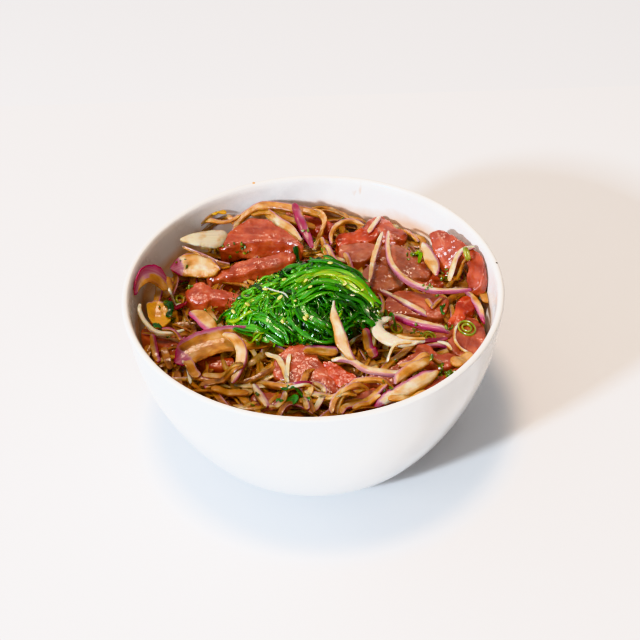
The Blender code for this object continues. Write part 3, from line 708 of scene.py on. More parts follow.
# A petal's looks: its tone; skin in from its first edge, and at its low and high ends,
# in millimetres; how hollow it is, above 0 for hollow upwards; then its two edges.
PETALS = {
    "onion_back_arc": (0.5, 0.7, 0, 0, -0.6, [(-39, 59, 70), (-37, 66, 72), (-32, 70, 75), (-25, 74, 77),
        (-18, 73, 78), (-8, 70, 78), (0, 68, 77), (5, 67, 75)], [(-36, 58, 70), (-34, 64, 72), (-29, 68, 74),
        (-24, 70, 75), (-17, 69, 76), (-8, 66, 76), (0, 64, 75), (4, 64, 74)]),
    "onion_back_bent": (0.4, 0, 0, 0, 0.3, [(-2, 69, 75.5), (5, 68, 75.5), (8, 63, 73.5), (5.5, 55, 70),
        (2, 47, 68)], [(-2, 66, 75), (3, 65, 74.5), (5.5, 61, 72.5), (3, 55, 69), (0, 48, 67)]),
    "onion_back_cream": (0.3, 0.6, 3, 0, 1.2, [(-26, 76, 74), (-20, 71, 75), (-14, 63, 75), (-8, 57, 74),
        (-4, 51, 71)], [(-25, 74, 73), (-20, 66, 72), (-14, 58, 72), (-9, 53, 71), (-5, 50, 70)]),
    "onion_back_left_dark": (0.95, 0.6, 0, 0, 0.6, [(-61, 43, 76), (-55, 40, 75), (-49, 38, 73),
        (-44, 36, 71), (-39, 36, 70)], [(-61, 42, 75), (-55, 39, 74), (-49, 36, 72), (-44, 32, 70),
        (-39, 33, 69)]),
    "onion_back_left_edge": (0.5, 0, 0, 0, 1, [(-57, 63, 70), (-53, 68, 72), (-47, 70, 73), (-40, 70, 73),
        (-36, 67, 71)], [(-57, 61, 69), (-52, 64, 70), (-46, 66, 71), (-40, 66, 71), (-37, 64, 70)]),
    "onion_back_left_wedge": (-0.05, 0, 0, 0, -1, [(-62, 46, 78), (-56, 51, 77), (-50, 55, 75),
        (-43, 58, 73), (-40, 57, 71)], [(-62, 45, 77), (-55, 44, 75), (-49, 45, 73), (-44, 47, 71),
        (-41, 52, 70)]),
    "onion_front_right_big": (0.25, 1.0, 3, 0, -1.5, [(24, -59, 66), (27, -56, 69), (33, -53, 71),
        (40, -49, 72), (46, -46, 73), (51, -44, 72)], [(26, -59, 65), (32, -57, 66), (39, -55, 67),
        (46, -51, 68), (51, -47, 69), (53, -45, 71)]),
    "onion_front_right_cream": (0.35, 0.6, 0, 0, -1, [(33, -52, 72), (34, -48, 74), (38, -44, 75),
        (43, -41, 75), (48, -38, 74)], [(34, -51, 71), (39, -48, 72), (44, -45, 73), (48, -42, 73),
        (50, -39, 73)]),
    "onion_left_curled": (0.5, 4.6, 3, 0, 1.5, [(-81, 6, 81), (-80, 11, 83), (-78, 16, 84), (-75, 20, 83),
        (-71, 22, 80), (-68, 21, 75)], [(-80, 4, 78), (-78, 9, 79), (-75, 12, 79), (-72, 12, 77),
        (-69, 12, 74), (-67, 14, 72)]),
    "onion_left_fan": (0.3, 0.8, 6, 0, -0.7, [(-67, 34, 70), (-63, 39, 72), (-57, 41, 73), (-50, 39, 73),
        (-46, 35, 72), (-43, 31, 71)], [(-66, 32, 69), (-62, 29, 69), (-56, 28, 69), (-50, 27, 69),
        (-46, 28, 69), (-43, 31, 70)]),
    "onion_left_petal": (0.6, 1.6, 6, 1, 4, [(-62, -28, 67), (-60, -21, 69), (-54, -17, 71), (-44, -14, 72),
        (-32, -13, 72), (-22, -15, 70), (-17, -19, 68)], [(-61, -29, 66), (-55, -32, 66), (-49, -29, 67),
        (-41, -26, 68), (-32, -25, 68), (-24, -24, 68), (-17, -20, 67)]),
    "onion_left_yellow": (1.5, 0.5, 0, 0, 1.5, [(-76, 6, 72), (-73, 8, 71), (-69, 8, 70), (-66, 6, 69)],
        [(-75, 0, 68), (-72, -4, 66), (-69, -5, 66), (-65, -1, 66)]),
    "onion_seaweed_pointed": (0.25, 0.5, 0, 0, -0.5, [(9, -11, 84), (10, -18, 84), (12, -25, 83),
        (14, -30, 80), (16, -37, 77), (18, -39, 74)], [(9, -11, 84), (7, -20, 84), (8, -27, 82),
        (9, -33, 79), (12, -37, 76), (15, -39, 73)]),
}

NO_SKIN = -9.0
EDGE_REACH = 0.7


def skinned(item, side, reach, low, high, seed, deepest=9.0):
    """Stores how deep inside the skin's border each point is: it lies in from one side and at both ends."""
    core = item["rings"].mean(axis=1, keepdims=True)
    half = np.linalg.norm(item["rings"] - core, axis=2).max(axis=1)[:, None]
    length = item["grain"][..., 0]
    wander = lumps(item["grain"].reshape(-1, 3), 6, seed).reshape(item["across"].shape)
    deep = np.full(item["across"].shape, NO_SKIN)
    if side:
        deep = reach * (1 + 0.4 * wander) - half * (1 - side * item["across"])
    if low:
        deep = np.maximum(deep, low * (1 + 0.5 * wander) - length)
    if high:
        deep = np.maximum(deep, high * (1 + 0.5 * wander) - (length.max() - length))
    at_edge = half * (1 - abs(item["across"])) < EDGE_REACH
    item["skin"] = np.clip(deep, NO_SKIN, deepest + 2 * at_edge)


def veined(item, seed, amount=0.14):
    """Raises the layer's veins, and wears the strip's surface a little uneven."""
    grain_here = item["grain"].reshape(-1, 3)
    ridges = amount * lumps(grain_here * (0.05, 1, 0.3), 1.4, seed) + 0.2 * lumps(grain_here, 4, seed)
    core = item["rings"].mean(axis=1, keepdims=True)
    outward = unit(item["rings"] - core)
    item["rings"] = item["rings"] + outward * ridges.reshape(item["across"].shape)[..., None]


# Some strips lie a little off their solids, closer to the
# pieces under them: these are their own centre lines.
OWN_LINE = {
    "onion_left_hook": [(-78, 1, 76), (-78, -2, 74), (-75, -8, 72), (-70, -13, 71), (-64, -14, 71),
        (-58, -12, 71)],
    "onion_front_left_cross": [(-40, -19, 74), (-35, -23, 75), (-32, -29, 74), (-32, -35, 72),
        (-34, -40, 70), (-36, -44, 68)],
    "onion_left_ribbon": [(-56, 0, 71), (-51, -4, 72), (-47, -10, 72), (-44, -15, 71)],
    "onion_right_long_arc": [(37, 51, 74), (36, 40, 74), (36.5, 30, 73), (39.5, 21.5, 72.5),
        (44.5, 14.8, 72), (50, 10.6, 72), (56, 8, 72), (65, 7, 72.5), (72, 7, 73)],
    "onion_right_straight": [(34.5, 53, 72), (32, 43, 73), (29, 32, 73), (27, 20.5, 72), (26, 17, 71)],
    "onion_right_standing": [(53, 42, 73), (54.5, 35, 73), (56.5, 26.5, 72.5), (57.5, 19, 72)],
    "onion_back_magenta": [(-8, 68.5, 79.5), (-6, 62, 77.5), (-3.8, 55.5, 75), (-1.5, 50, 72.5),
        (0.3, 45, 70)],
    "onion_back_right_arc": [(9.5, 48, 70), (9.5, 54, 70.5), (12, 60, 71), (16.5, 63.5, 71.5),
        (21.5, 63.5, 71), (26, 60.5, 71)],
}
# Some strips are cut finer than their solids.
FINER = {
    "onion_right_long_arc": 0.66,
    "onion_right_straight": 0.7,
    "onion_right_standing": 0.9,
    "onion_right_edge": 0.75,
    "onion_right_thin": 0.75,
    "onion_right_magenta": 0.85,
    "onion_back_right_arc": 0.65,
    "onion_front_loop": 0.75,
    "onion_front_s": 0.8,
}
for seed, (node, (tone_here, side, reach, low, high)) in enumerate(STRIP_LOOKS.items()):
    piece = merged_copy(node, "cut_" + node)
    rings = rings_in_order(piece)
    bpy.data.objects.remove(piece)
    centre, across, half_wide, half_thick = frame_of(rings)
    count = 56
    line = smooth(OWN_LINE.get(node, centre), count)
    even = np.linspace(0, len(centre) - 1, count)
    level = unit(np.stack([np.interp(even, range(len(centre)), across[:, k]) for k in range(3)], axis=1))
    wide = 2 * np.interp(even, range(len(centre)), half_wide) * FINER.get(node, 1.0)
    thick = np.clip(2 * np.interp(even, range(len(centre)), half_thick), 1.4, 3.2)
    # The root end of a small bulb is round, where the others are flat.
    round_one = node == "onion_right_bulb"
    if round_one:
        thick = np.maximum(thick, 0.65 * wide)
    item = strip(
        line,
        wide * (1 + 0.12 * lumps(line, 9, seed)),
        thick * 0.9,
        sides=20,
        corner=1.0 if round_one else 0.5,
        roll=12 * lumps(line, 16, seed + 50),
        ends=0.5,
        tone=tone_here,
        level=None if node in OWN_LINE else level,
    )
    skinned(item, side, reach, low, high, seed)
    veined(item, seed)
    hand_in(joined([item], "cut_" + node), "cut_" + node, "red_onion", onion, node)

PETAL_THICKNESS = 1.5
for seed, (node, (tone_here, reach, low, high, cup, first, second)) in enumerate(PETALS.items()):
    count = 80
    a, b = smooth(first, count), smooth(second, count)
    wide = np.linalg.norm(a - b, axis=1)
    fray = 1 + 0.06 * lumps(a, 3, seed) + 0.05 * lumps(a, 1.2, seed)
    item = strip(
        (a + b) / 2,
        np.maximum(wide * fray, 1.2),
        PETAL_THICKNESS * (1 + 0.25 * lumps(a, 8, seed)),
        sides=32,
        corner=0.42,
        cup=cup * wide[:, None] / wide.max(),
        ends=0.8,
        tone=tone_here,
        level=unit(a - b),
    )
    skinned(item, 1 if reach else 0, reach, low, high, seed, deepest=0.9)
    veined(item, seed)
    hand_in(joined([item], "cut_" + node), "cut_" + node, "red_onion", onion, node)

# The seaweed salad --------------------------------------------------------------------------------
# Wakame stems cut in long thin ribbons and dressed with sesame oil: they flow
# from the top of the heap to the left and arch over to the right, and lie in
# a dark tangle at the front. A low green core stands in for the middle.

heart = merged_copy("seaweed_salad", "seaweed_heart")
apply_modifier(heart, "SUBSURF", levels=3, render_levels=3)
heap_points = points_of(heart)
heap_top = heap_points[heap_points[:, 2] > heap_points[:, 2].mean()]


def heap_height(x, y):
    """The top of the heap at that place, from the solid's own surface."""
    away = np.hypot(heap_top[:, 0] - x, heap_top[:, 1] - y)
    near = np.argsort(away)[:5]
    weight = 1 / (away[near] + 0.5) ** 2
    return float((weight * heap_top[near, 2]).sum() / weight.sum())


heap_centre = heap_points.mean(axis=0)
spots = heap_centre + (heap_points - heap_centre) * (0.9, 0.9, 0.88)
CREST = np.array((-2, 12))
# The heap's two back sides: the way each one faces, and how far out the heart ends and strands start to hang.
BACK_SIDES = [((-0.61, 0.79), 20, 21.5), ((0.69, 0.72), 22, 23.5)]
from_crest = spots[:, :2] - CREST
turn = np.arctan2(from_crest[:, 1], from_crest[:, 0])
far = np.linalg.norm(from_crest, axis=1)
flow = np.stack([13 * np.cos(turn), 13 * np.sin(turn), 0.22 * far], axis=1)
spots[:, 2] += 1.5 * lumps(flow, 2.4, 4) + 1.2 * lumps(spots, 6, 5) - 1.2
for faces_way, heart_end, hang_start in BACK_SIDES:
    outward = np.array((*faces_way, 0))
    spots -= np.clip(spots @ outward - heart_end, 0, 20)[:, None] * outward
move_points(heart, spots)

# Wakame: see-through green under oil, bright where it is thin and near black in the tangle, where strands
# that lie deeper are painted darker as shade. It has a sharp gloss.
wakame, tree, shader = new_finish("dressed_wakame")
grain = add_node(tree, "Attribute", attribute_name="grain").outputs["Vector"]
tone = add_node(tree, "Attribute", attribute_name="tone").outputs["Fac"]
lengthwise = add_node(tree, "Mapping", {0: grain, "Scale": (0.12, 1.1, 1.1)})
vein = add_node(tree, "TexNoise", {0: lengthwise, "Scale": 1, "Detail": 3})
spread = add_node(tree, "MapRange", {0: vein, 1: 0.3, 2: 0.7, 3: -0.2, 4: 0.2})
depth = add_node(tree, "Math", {0: tone, 1: spread}, operation="ADD")
green = add_node(tree, "ValToRGB", {0: depth}, ramp=[
    (0.0, "#0c2a06"), (0.25, "#1d640c"), (0.5, "#33980c"), (0.75, "#5cae0e"), (1.0, "#aebc12"),
])
wet = add_node(tree, "TexNoise", {0: grain, "Scale": 0.4, "Detail": 1.5})
ribs = add_node(tree, "Bump", {"Height": vein, "Strength": 0.25, "Distance": 0.0003})
drops = add_node(tree, "Bump", {"Height": wet, "Normal": ribs, "Strength": 1.0, "Distance": 0.0005})
plug(shader, {
    "Base Color": green, "Normal": ribs, "Coat Normal": drops, "Roughness": 0.35, "IOR": 1.4,
    "Specular IOR Level": 0.2, "Transmission Weight": 0.3, "Subsurface Weight": 0.5,
    "Subsurface Radius": (0.5, 1.0, 0.15), "Subsurface Scale": 0.002, "Coat Weight": 1.0,
    "Coat Roughness": 0.2, "Coat IOR": 1.5,
})
attribute(heart, "tone", "FLOAT", 0.3 - 0.008 * spots[:, 0] + 0.3 * lumps(flow, 2.4, 4))
attribute(heart, "grain", "FLOAT_VECTOR", spots)
hand_in(heart, "seaweed_heart", "seaweed", wakame, "seaweed_salad")

# Locks of broad ribbons that lie roughly side by side: the line each lock follows, how many
# ribbons, how wide the lock is, and the range of its tone, from 0, near black, to 1, yellow-green.
LOCKS = [
    ([(6, 22, 80), (-6, 17, 80), (-15, 10, 79), (-22, 4, 78), (-29, 2, 75), (-34, -2, 73)], 7, 7,
        (0.25, 0.6)),
    ([(8, 9, 84), (-2, 7, 84), (-10, 5, 82), (-18, 0, 80), (-25, -3, 78), (-33, -4, 75)], 7, 8, (0.55, 0.9)),
    ([(-18, 0, 79), (-26, -3, 78), (-33, -5, 75), (-41, -6, 71)], 7, 9, (0.6, 0.95)),
    ([(-8, 3, 84), (1, 7, 85), (12, 8, 84), (20, 2, 82), (26, -3, 79), (29, -8, 76)], 5, 6, (0.58, 0.9)),
    ([(-3, 24, 80), (4, 18, 82), (11, 16, 81), (18, 13, 78), (24, 7, 75)], 6, 8, (0.25, 0.55)),
    ([(-10, -8, 82), (-2, -4, 84), (7, 0, 84), (13, -2, 82), (17, -7, 80)], 6, 7, (0.4, 0.65)),
    ([(8, -3, 83), (14, -5, 82), (22, -8, 78), (27, -14, 74)], 4, 7, (0.15, 0.4)),
    ([(-29, -6, 77), (-21, -12, 77), (-14, -19, 76), (-8, -25, 73)], 5, 7, (0.35, 0.6)),
    ([(-8, -8, 82), (-5, -16, 80), (3, -21, 78), (7, -25, 75)], 5, 8, (0.25, 0.55)),
    ([(10, -22, 75), (17, -16, 77), (24, -15, 75), (28, -18, 71)], 3, 3, (0.2, 0.4)),
    ([(-38, -10, 72), (-30, -14, 74), (-21, -19, 74), (-14, -23, 72)], 5, 5, (0.35, 0.7)),
    ([(17, -7, 79), (23, -11, 76), (27, -14, 72), (28, -18, 68)], 5, 6, (0.1, 0.35)),
]


def ribbon(path, wide, thick, tone, twist):
    """A wakame ribbon: it buckles along its length and turns over as it goes."""
    path = np.asarray(path, float)
    count = len(path)
    waves = np.sin(np.linspace(0, dice.uniform(3, 14), count) + dice.uniform(0, 6.28))
    path[:, 2] += dice.uniform(0.2, 0.9) * waves
    turn = np.cumsum(dice.normal(0, twist, count))
    swell = wide * (1 + 0.25 * np.sin(np.linspace(0, dice.uniform(4, 15), count) + dice.uniform(0, 6.28)))
    cup = dice.uniform(-0.35, 0.35) * wide / 2
    return strip(path, swell, thick, sides=8, corner=0.8, roll=turn, cup=cup, ends=0.25, tone=tone)


ribbons = []
for guide, number, spread_here, (low_tone, high_tone) in LOCKS:
    for k in range(number + 2):
        wander = dice.normal(0, 1.1, (len(guide), 3)) * (1, 1, 0.5)
        path = smooth(np.array(guide) + wander, 28)
        aside = unit(np.cross(UPWARD, np.gradient(path, axis=0)))
        offset = spread_here * ((k + dice.uniform(-0.5, 0.5)) / (number + 1) - 0.5)
        path = path + aside * offset
        path[:, 2] += dice.uniform(-1.2, 0.6) - 0.02 * offset**2
        path = path[int(dice.uniform(0, 7)) : 28 - int(dice.uniform(0, 6))]
        tone_here = dice.uniform(low_tone, high_tone)
        ribbons.append(ribbon(path, dice.uniform(1.2, 2.9), dice.uniform(0.6, 1.0), tone_here, 6))

# The tangle: short curling strands that start anywhere on the heap and run mostly
# outwards and down over it. At the back they hang down, a millimetre or so at each step.
TANGLE = 480
HANG_STEP = 1.3
reach_x, reach_y = np.ptp(heap_points[:, 0]) / 2, np.ptp(heap_points[:, 1]) / 2
for k in range(TANGLE):
    out, around = 0.97 * math.sqrt(dice.random()), dice.uniform(0, 2 * math.pi)
    x = heap_centre[0] + reach_x * out * math.cos(around)
    y = heap_centre[1] + reach_y * out * math.sin(around)
    heading = around + dice.normal(0, 0.9)
    lift, steps, bend = dice.uniform(-1.6, 0.4), int(dice.uniform(9, 22)), dice.normal(0, 0.07)
    path = []
    for step in range(steps):
        if np.hypot(heap_top[:, 0] - x, heap_top[:, 1] - y).min() > 1.2 and step > 4:
            break
        hanging = any(b * y + a * x > hang_start for (a, b), heart_end, hang_start in BACK_SIDES)
        if hanging:
            lift -= HANG_STEP
        path.append((x, y, heap_height(x, y) + lift))
        if not hanging:
            bend += dice.normal(0, 0.05)
            heading += bend
            x += math.cos(heading)
            y += math.sin(heading)
    bright = 0.5 + 0.28 * (heap_centre[0] - x) / reach_x + 0.12 * (y - heap_centre[1]) / reach_y
    # Each strand is painted darker the lower it lies below the heap's top: painted shade deep in the tangle
    # and on the strands hanging at the back.
    tone_here = min(max(bright + 0.1 * lift + dice.normal(0, 0.16), 0.05), 1)
    if len(path) < 5:
        continue
    path = smooth(path[:: 2 if len(path) > 6 else 1], 22)
    ribbons.append(ribbon(path, dice.uniform(0.6, 1.9), dice.uniform(0.5, 0.9), tone_here, 8))
hand_in(joined(ribbons, "seaweed_ribbons"), "seaweed_ribbons", "seaweed", wakame)

# What lies on top ---------------------------------------------------------------------------------
# The small things lie on the finished food: more strips of onion, scraps of seaweed,
# chopped greens and sesame seeds. A map of the food's height says how high each one lies.


MAP_REACH = 90


def top_map(objects):
    """The highest point of these pieces over each square millimetre of the bowl."""
    heights = np.full((2 * MAP_REACH + 1, 2 * MAP_REACH + 1), BED_TOP + 0.5)
    for obj in objects:
        places = points_of(obj)
        i, j = (np.clip(np.rint(places[:, k]).astype(int) + MAP_REACH, 0, 2 * MAP_REACH) for k in (0, 1))
        np.maximum.at(heights, (i, j), places[:, 2])
    return heights


def top_at(x, y, reach=1):
    i, j = int(round(x)) + MAP_REACH, int(round(y)) + MAP_REACH
    return float(heights[max(i - reach, 0) : i + reach + 1, max(j - reach, 0) : j + reach + 1].max())


def draped(points, thick, count=24):
    """A line over these places that rests on the food, as a limp strip does. Places with a height keep it."""
    if len(points[0]) == 3:
        return smooth(points, count)
    flat = smooth(points, count)
    z = np.array([top_at(x, y) for x, y in flat])
    for _ in range(3):
        z = np.convolve(np.pad(z, 2, mode="edge"), np.ones(5) / 5, mode="valid")
    return np.column_stack([flat, z + 0.35 * thick])


heights = top_map([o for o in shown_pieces() if o.name.startswith(("raw_", "cut_", "seaweed_", "loose_"))])

# Each loose strip: width, thickness, tone, the side its skin is on, how far in that reaches, and its line.
LOOSE = [
    (2.8, 1, 0.3, 1, 9, [(-66, 11), (-62, 11), (-58, 10)]),
    (2, 1, -0.1, 0, 0, [(-66, 13), (-61, 13)]),
    (1.8, 1, 0.4, 1, 1.6, [(-68, -11), (-62, -14), (-57, -19)]),
    (3, 1.4, 0.5, 1, 1.5, [(-72, -14), (-71, -19), (-69, -26)]),
    (3.4, 1.4, 0.7, 0, 0, [(-67, -18), (-66, -22), (-64, -28)]),
    (4.5, 1.4, 0.4, 1, 0.6, [(-56, -30), (-54, -34), (-51, -39)]),
    (1.3, 1, -0.3, 0, 0, [(-58, -29), (-56, -33), (-55, -37), (-54, -42)]),
    (4, 1.5, 0.7, 0, 0, [(-50, -42), (-41, -40), (-31, -38)]),
    (3.6, 1.5, 0.6, 0, 0, [(-45, -46), (-37, -46), (-29, -47)]),
    (3, 1.4, 0.55, 0, 0, [(-49, -37), (-40, -37), (-31, -38)]),
    (2.4, 1.2, 0.4, 1, 1.2, [(-48, -44), (-43, -41), (-36, -38)]),
    (2.4, 1.2, 0.2, 0, 0, [(-22, -25), (-17, -29), (-14, -35), (-12, -44)]),
    (2.0, 1.1, 0.15, 0, 0, [(-11, -29), (-12, -34), (-13, -44)]),
    (1.6, 1.0, 0.1, 0, 0, [(-12, -50), (-7, -49), (-3, -48), (2, -48), (6, -49)]),
    (3.2, 1.3, 0.3, 1, 0.8, [(-5, -50), (3, -52), (9, -55), (17, -55)]),
    (2.8, 1.3, 0.3, 1, 0.6, [(-1, -44), (3, -46), (3, -50), (2, -54), (-1, -58)]),
    (3, 1.4, 0.4, 1, 0.5, [(6, -62), (7, -58), (10, -55), (15, -54), (22, -53)]),
    (3, 1.4, 0.5, -1, 0.6, [(10, -63), (12, -59), (17, -56), (23, -54), (30, -53)]),
    (2.6, 1.3, 0.35, 1, 0.7, [(15, -60), (20, -57), (27, -56)]),
    (2.6, 1.3, 0.35, 0, 0, [(-2, -48), (-3, -51), (-7, -56)]),
    (3, 1.4, 0.3, 1, 0.8, [(-20, -59), (-15, -54), (-13, -50)]),
    (2.6, 1.4, 0.5, 1, 0.8, [(-7, -52), (-5, -55), (-4, -60)]),
    (2.6, 1.2, 0.25, 1, 0.5, [(75, 25, 83), (70, 26, 81), (67, 25, 77), (65, 22, 73), (63, 17, 70)]),
    (1.8, 1.0, 0.6, 1, 0.5, [(45, 57, 70), (48, 52, 71), (51, 46, 71)]),
    (2.4, 1.4, 0.25, 1, 0.4, [(34, 68), (31, 62), (28, 56)]),
    (2.2, 1.2, 0.3, 1, 9, [(42, -21), (50, -21), (59, -20)]),
    (1.2, 0.9, 0.1, 1, 0.3, [(66, -9), (63, -14), (62, -21), (64, -26), (68, -29)]),
    (1.4, 0.9, 0.1, 0, 0, [(54, -21), (58, -23), (60, -27)]),
    (1.3, 0.9, 0.2, 0, 0, [(31, -33), (33, -31), (37, -30), (42, -30)]),
    (1.6, 1, 0.3, 0, 0, [(36, -25), (40, -27), (44, -28), (48, -28)]),
    (4.6, 1.6, 0.5, 1, 2, [(22, -20), (24, -23), (26, -28)]),
    (6, 1.4, 0.45, 1, 1.5, [(-5, -28, 71), (3, -29, 71), (10, -30, 71)]),
    (2.2, 1.1, 0.5, 1, 0.8, [(51.8, 7.3, 68), (54, 1.5, 68)]),
    (2.2, 1.1, 0.45, 1, 0.8, [(53.6, 0.6, 68), (58.5, 7.5, 68)]),
    (6.5, 2.4, 0.5, 0, 0, [(60, -38), (64, -33), (69, -30)]),
    (1.8, 1, 0.4, 0, 0, [(0, 78, 69), (6, 79, 69), (12, 76, 69), (19, 70, 69)]),
    (1.6, 1, 0.45, 0, 0, [(3, 76, 69), (9, 76, 69), (14, 73, 69), (19, 68, 69)]),
    (3.2, 1.2, 1.4, 0, 0, [(-55, 66, 75), (-51, 67, 76), (-46, 68, 77), (-41, 67, 76)]),
    (2.4, 1.2, 1.5, 0, 0, [(-56, 64, 75), (-50, 66, 77), (-45, 66, 77)]),
    (2.6, 1.2, 0.5, 1, 0.5, [(-55, 63, 74), (-49, 63, 75), (-43, 61, 75), (-38, 61, 76), (-34, 64, 77)]),
    (0.7, 0.6, -0.1, 0, 0, [(-21, 1), (-17, -1), (-13, -3), (-11, -6)]),
    (4.5, 1.6, 0.6, 0, 0, [(-29, 68, 74), (-22, 70, 74), (-12, 68, 74)]),
    (4.5, 1.6, 0.4, 0, 0, [(-18, 67, 74), (-7, 62, 73), (2, 58, 72)]),
    (2.6, 1.3, 0.4, 1, 0.8, [(5, 53), (7, 46), (9, 39)]),
    (2.6, 1.3, 0.3, 1, 0.8, [(6, 51), (10, 44), (13, 37)]),
    (2.8, 1.3, 0.35, 1, 1.2, [(16, 45), (18, 38), (21, 31)]),
    (4.5, 1.5, 0.65, 0, 0, [(76, 13, 69), (78, 8, 69), (79, 3, 68)]),
    (4.5, 1.5, 0.6, 0, 0, [(-69, 28, 69), (-67, 20, 69), (-68, 13, 69)]),
    (3.4, 1.4, 0.55, 1, 0.6, [(-72, 23, 70), (-71, 16, 70), (-72, 7, 69)]),
    (3.2, 1.4, 0.5, 0, 0, [(30, -58), (38, -57), (47, -53)]),
    (3, 1.4, 0.6, 1, 0.6, [(36, -38), (45, -38), (55, -35)]),
    (2.4, 1.2, 0.35, 1, 0.5, [(44, 20), (52, 16), (57, 15)]),
    (2.6, 1.3, 0.4, 0, 0, [(62, 18), (66, 20), (71, 20)]),
]
strips_on_top = []
for seed, (wide, thick, tone_here, side, reach, line) in enumerate(LOOSE):
    path = draped(line, thick)
    width = wide * (1 + 0.15 * lumps(path, 6, seed))
    lean = 14 * lumps(path, 12, seed + 9)
    hollow = 0.12 * wide
    item = strip(path, width, thick, 14, corner=0.5, roll=lean, cup=hollow, ends=0.35, tone=tone_here)
    skinned(item, side, reach, 0, 0, seed)
    veined(item, seed, 0.1)
    strips_on_top.append(item)
hand_in(joined(strips_on_top, "draped_onion"), "draped_onion", "red_onion", onion)

# Scraps of seaweed that fell off the heap: width, tone and line.
SCRAPS = [
    (2.6, 0.08, [(-8, 45), (-6.5, 41), (-5, 36)]),
    (2.4, 0.02, [(-1, 42.5), (-1, 39), (-1.5, 36)]),
    (2.2, 0.2, [(-15, -50), (-9, -50), (-5, -52), (-3, -55)]),
    (3.0, 0.35, [(-17, -54), (-14, -52), (-9, -54), (-10, -57)]),
    (2.6, 0.25, [(-36, -5), (-44, -3), (-47, 2)]),
    (1.8, 0.85, [(-22, -20), (-26, -22), (-30, -23)]),
    (2.4, 0.85, [(49, 38), (51, 34), (50, 31)]),
    (2.4, 0.75, [(5, 49), (8, 44), (10, 39)]),
    (3.4, 0.1, [(-68, 8), (-65, 5), (-66, 0)]),
    (2.6, 0.2, [(-72, -9), (-68, -11), (-64, -10)]),
    (2.0, 0.2, [(32, -5), (35, -8), (37, -12)]),
    (1.6, 0.2, [(60, 4), (58, 1), (59, -3)]),
]
scraps = []
for wide, tone_here, line in SCRAPS:
    scraps.append(ribbon(draped(line, 1.2), wide, 0.7, tone_here, 6))
hand_in(joined(scraps, "seaweed_scraps"), "seaweed_scraps", "seaweed", wakame)

# Scallion cut across the leaf, in rings a millimetre or two long: place, radius, height above
# the food, and how far each is tipped, in degrees. The larger ones keep a second ring inside.
RINGS = [
    (71, 21, 3.2, 2.5, 65), (68, -14, 3.7, 0.5, 8), (68, -14, 2.0, 0.6, 8), (51, -17, 3.0, 0.4, 10),
    (51, -17, 1.5, 0.5, 10), (37, -10, 2.2, 0.4, 30), (-62, 17, 2.0, 0.4, 40), (-25, -21, 2.0, 0.3, 20),
]


def mottled(name, scale, ramp, sockets):
    """A finish whose colour wanders over the ramp in spots of 1000 / scale millimetres."""
    made, tree, shader = new_finish(name)
    place = add_node(tree, "TexCoord").outputs["Object"]
    mottle = add_node(tree, "TexNoise", {0: place, "Scale": scale, "Detail": 2})
    plug(shader, {"Base Color": add_node(tree, "ValToRGB", {0: mottle}, ramp), **sockets})
    return made


# Scallion leaf: a thin wet wall that lets light through, yellow-green with paler spots.
leaf = mottled("scallion_leaf", 260, [(0.3, "#5c7c18"), (0.5, "#96982c"), (0.75, "#b8ac4c")], {
    "Roughness": 0.35, "IOR": 1.38, "Transmission Weight": 0.25, "Coat Weight": 1.0, "Coat Roughness": 0.2,
})
LEAF_HALF_THICK = 0.42
for x, y, ring_radius, above_food, tip in RINGS:
    select_only()
    bpy.ops.mesh.primitive_torus_add(
        major_segments=28, minor_segments=8, major_radius=ring_radius * MM, minor_radius=LEAF_HALF_THICK * MM
    )
    ring = bpy.context.object
    ring.scale = (1.15, 0.9, 1.8)
    ring.rotation_euler = (math.radians(tip), 0.1, 0.07 * y)
    ring.location = Vector((x, y, top_at(x, y) + above_food)) * MM
    hand_in(ring, "scallion_ring", "seaweed", leaf)


def ball(segments, ring_count):
    """The points and faces of a ball a millimetre across, to press one small grain from."""
    select_only()
    bpy.ops.mesh.primitive_uv_sphere_add(segments=segments, ring_count=ring_count, radius=0.5)
    shape = bpy.context.object
    points, faces = points_of(shape) * MM, [list(f.vertices) for f in shape.data.polygons]
    bpy.data.objects.remove(shape)
    return points, faces


def scattered(shape, faces, spots, name, tilt):
    """Copies of a small shape as one mesh, each turned and tipped its own way. Spots are (x, y, z, size)."""
    places, all_faces = [], []
    for x, y, z, size in spots:
        turn, tip = dice.uniform(0, 2 * math.pi), dice.normal(0, tilt)
        c, s = math.cos(turn), math.sin(turn)
        p = shape * size
        tipped = p[:, 0] * math.cos(tip) - p[:, 2] * math.sin(tip)
        raised = p[:, 0] * math.sin(tip) + p[:, 2] * math.cos(tip)
        p = np.stack([tipped * c - p[:, 1] * s, tipped * s + p[:, 1] * c, raised], axis=1) + (x, y, z)
        all_faces += [[i + len(places) for i in f] for f in faces]
        places += p.tolist()
    return new_piece(name, places, all_faces)


# Sesame seeds: flat drops, one end narrower. Hulled, they are cream with a soft oily shine.
SEED_SIZE = (2.8, 1.7, 0.9)
SEED_TAPER = 0.45
SEED_TILT = 0.35
SEEDS = [
    (-13, 6), (-11, 8), (-3, 4), (-3, 10), (-15, -5), (-21, 0), (-8, -8), (-1, -2), (-3, -16), (-4, -18),
    (-14, -16), (22, -1), (-29, -6), (-36, -6), (8, 16), (-24, 8), (14, 2),
]
seed, seed_faces = ball(10, 7)
seed[:, :2] *= 1 - SEED_TAPER * seed[:, :1]
seed_spots = [(x, y, top_at(x, y, 0) + 0.3, dice.uniform(0.8, 1.1)) for x, y in SEEDS]
seeds = scattered(seed * SEED_SIZE, seed_faces, seed_spots, "sesame_seeds", SEED_TILT)
hull = mottled("hulled_sesame", 700, [(0.3, "#b4b04a"), (0.6, "#d2cc74"), (0.8, "#e4dea0")], {
    "Roughness": 0.3, "IOR": 1.45, "Coat Weight": 0.8, "Coat Roughness": 0.08, "Subsurface Weight": 0.2,
    "Subsurface Scale": 0.001,
})
hand_in(seeds, "sesame_seeds", "seaweed", hull)

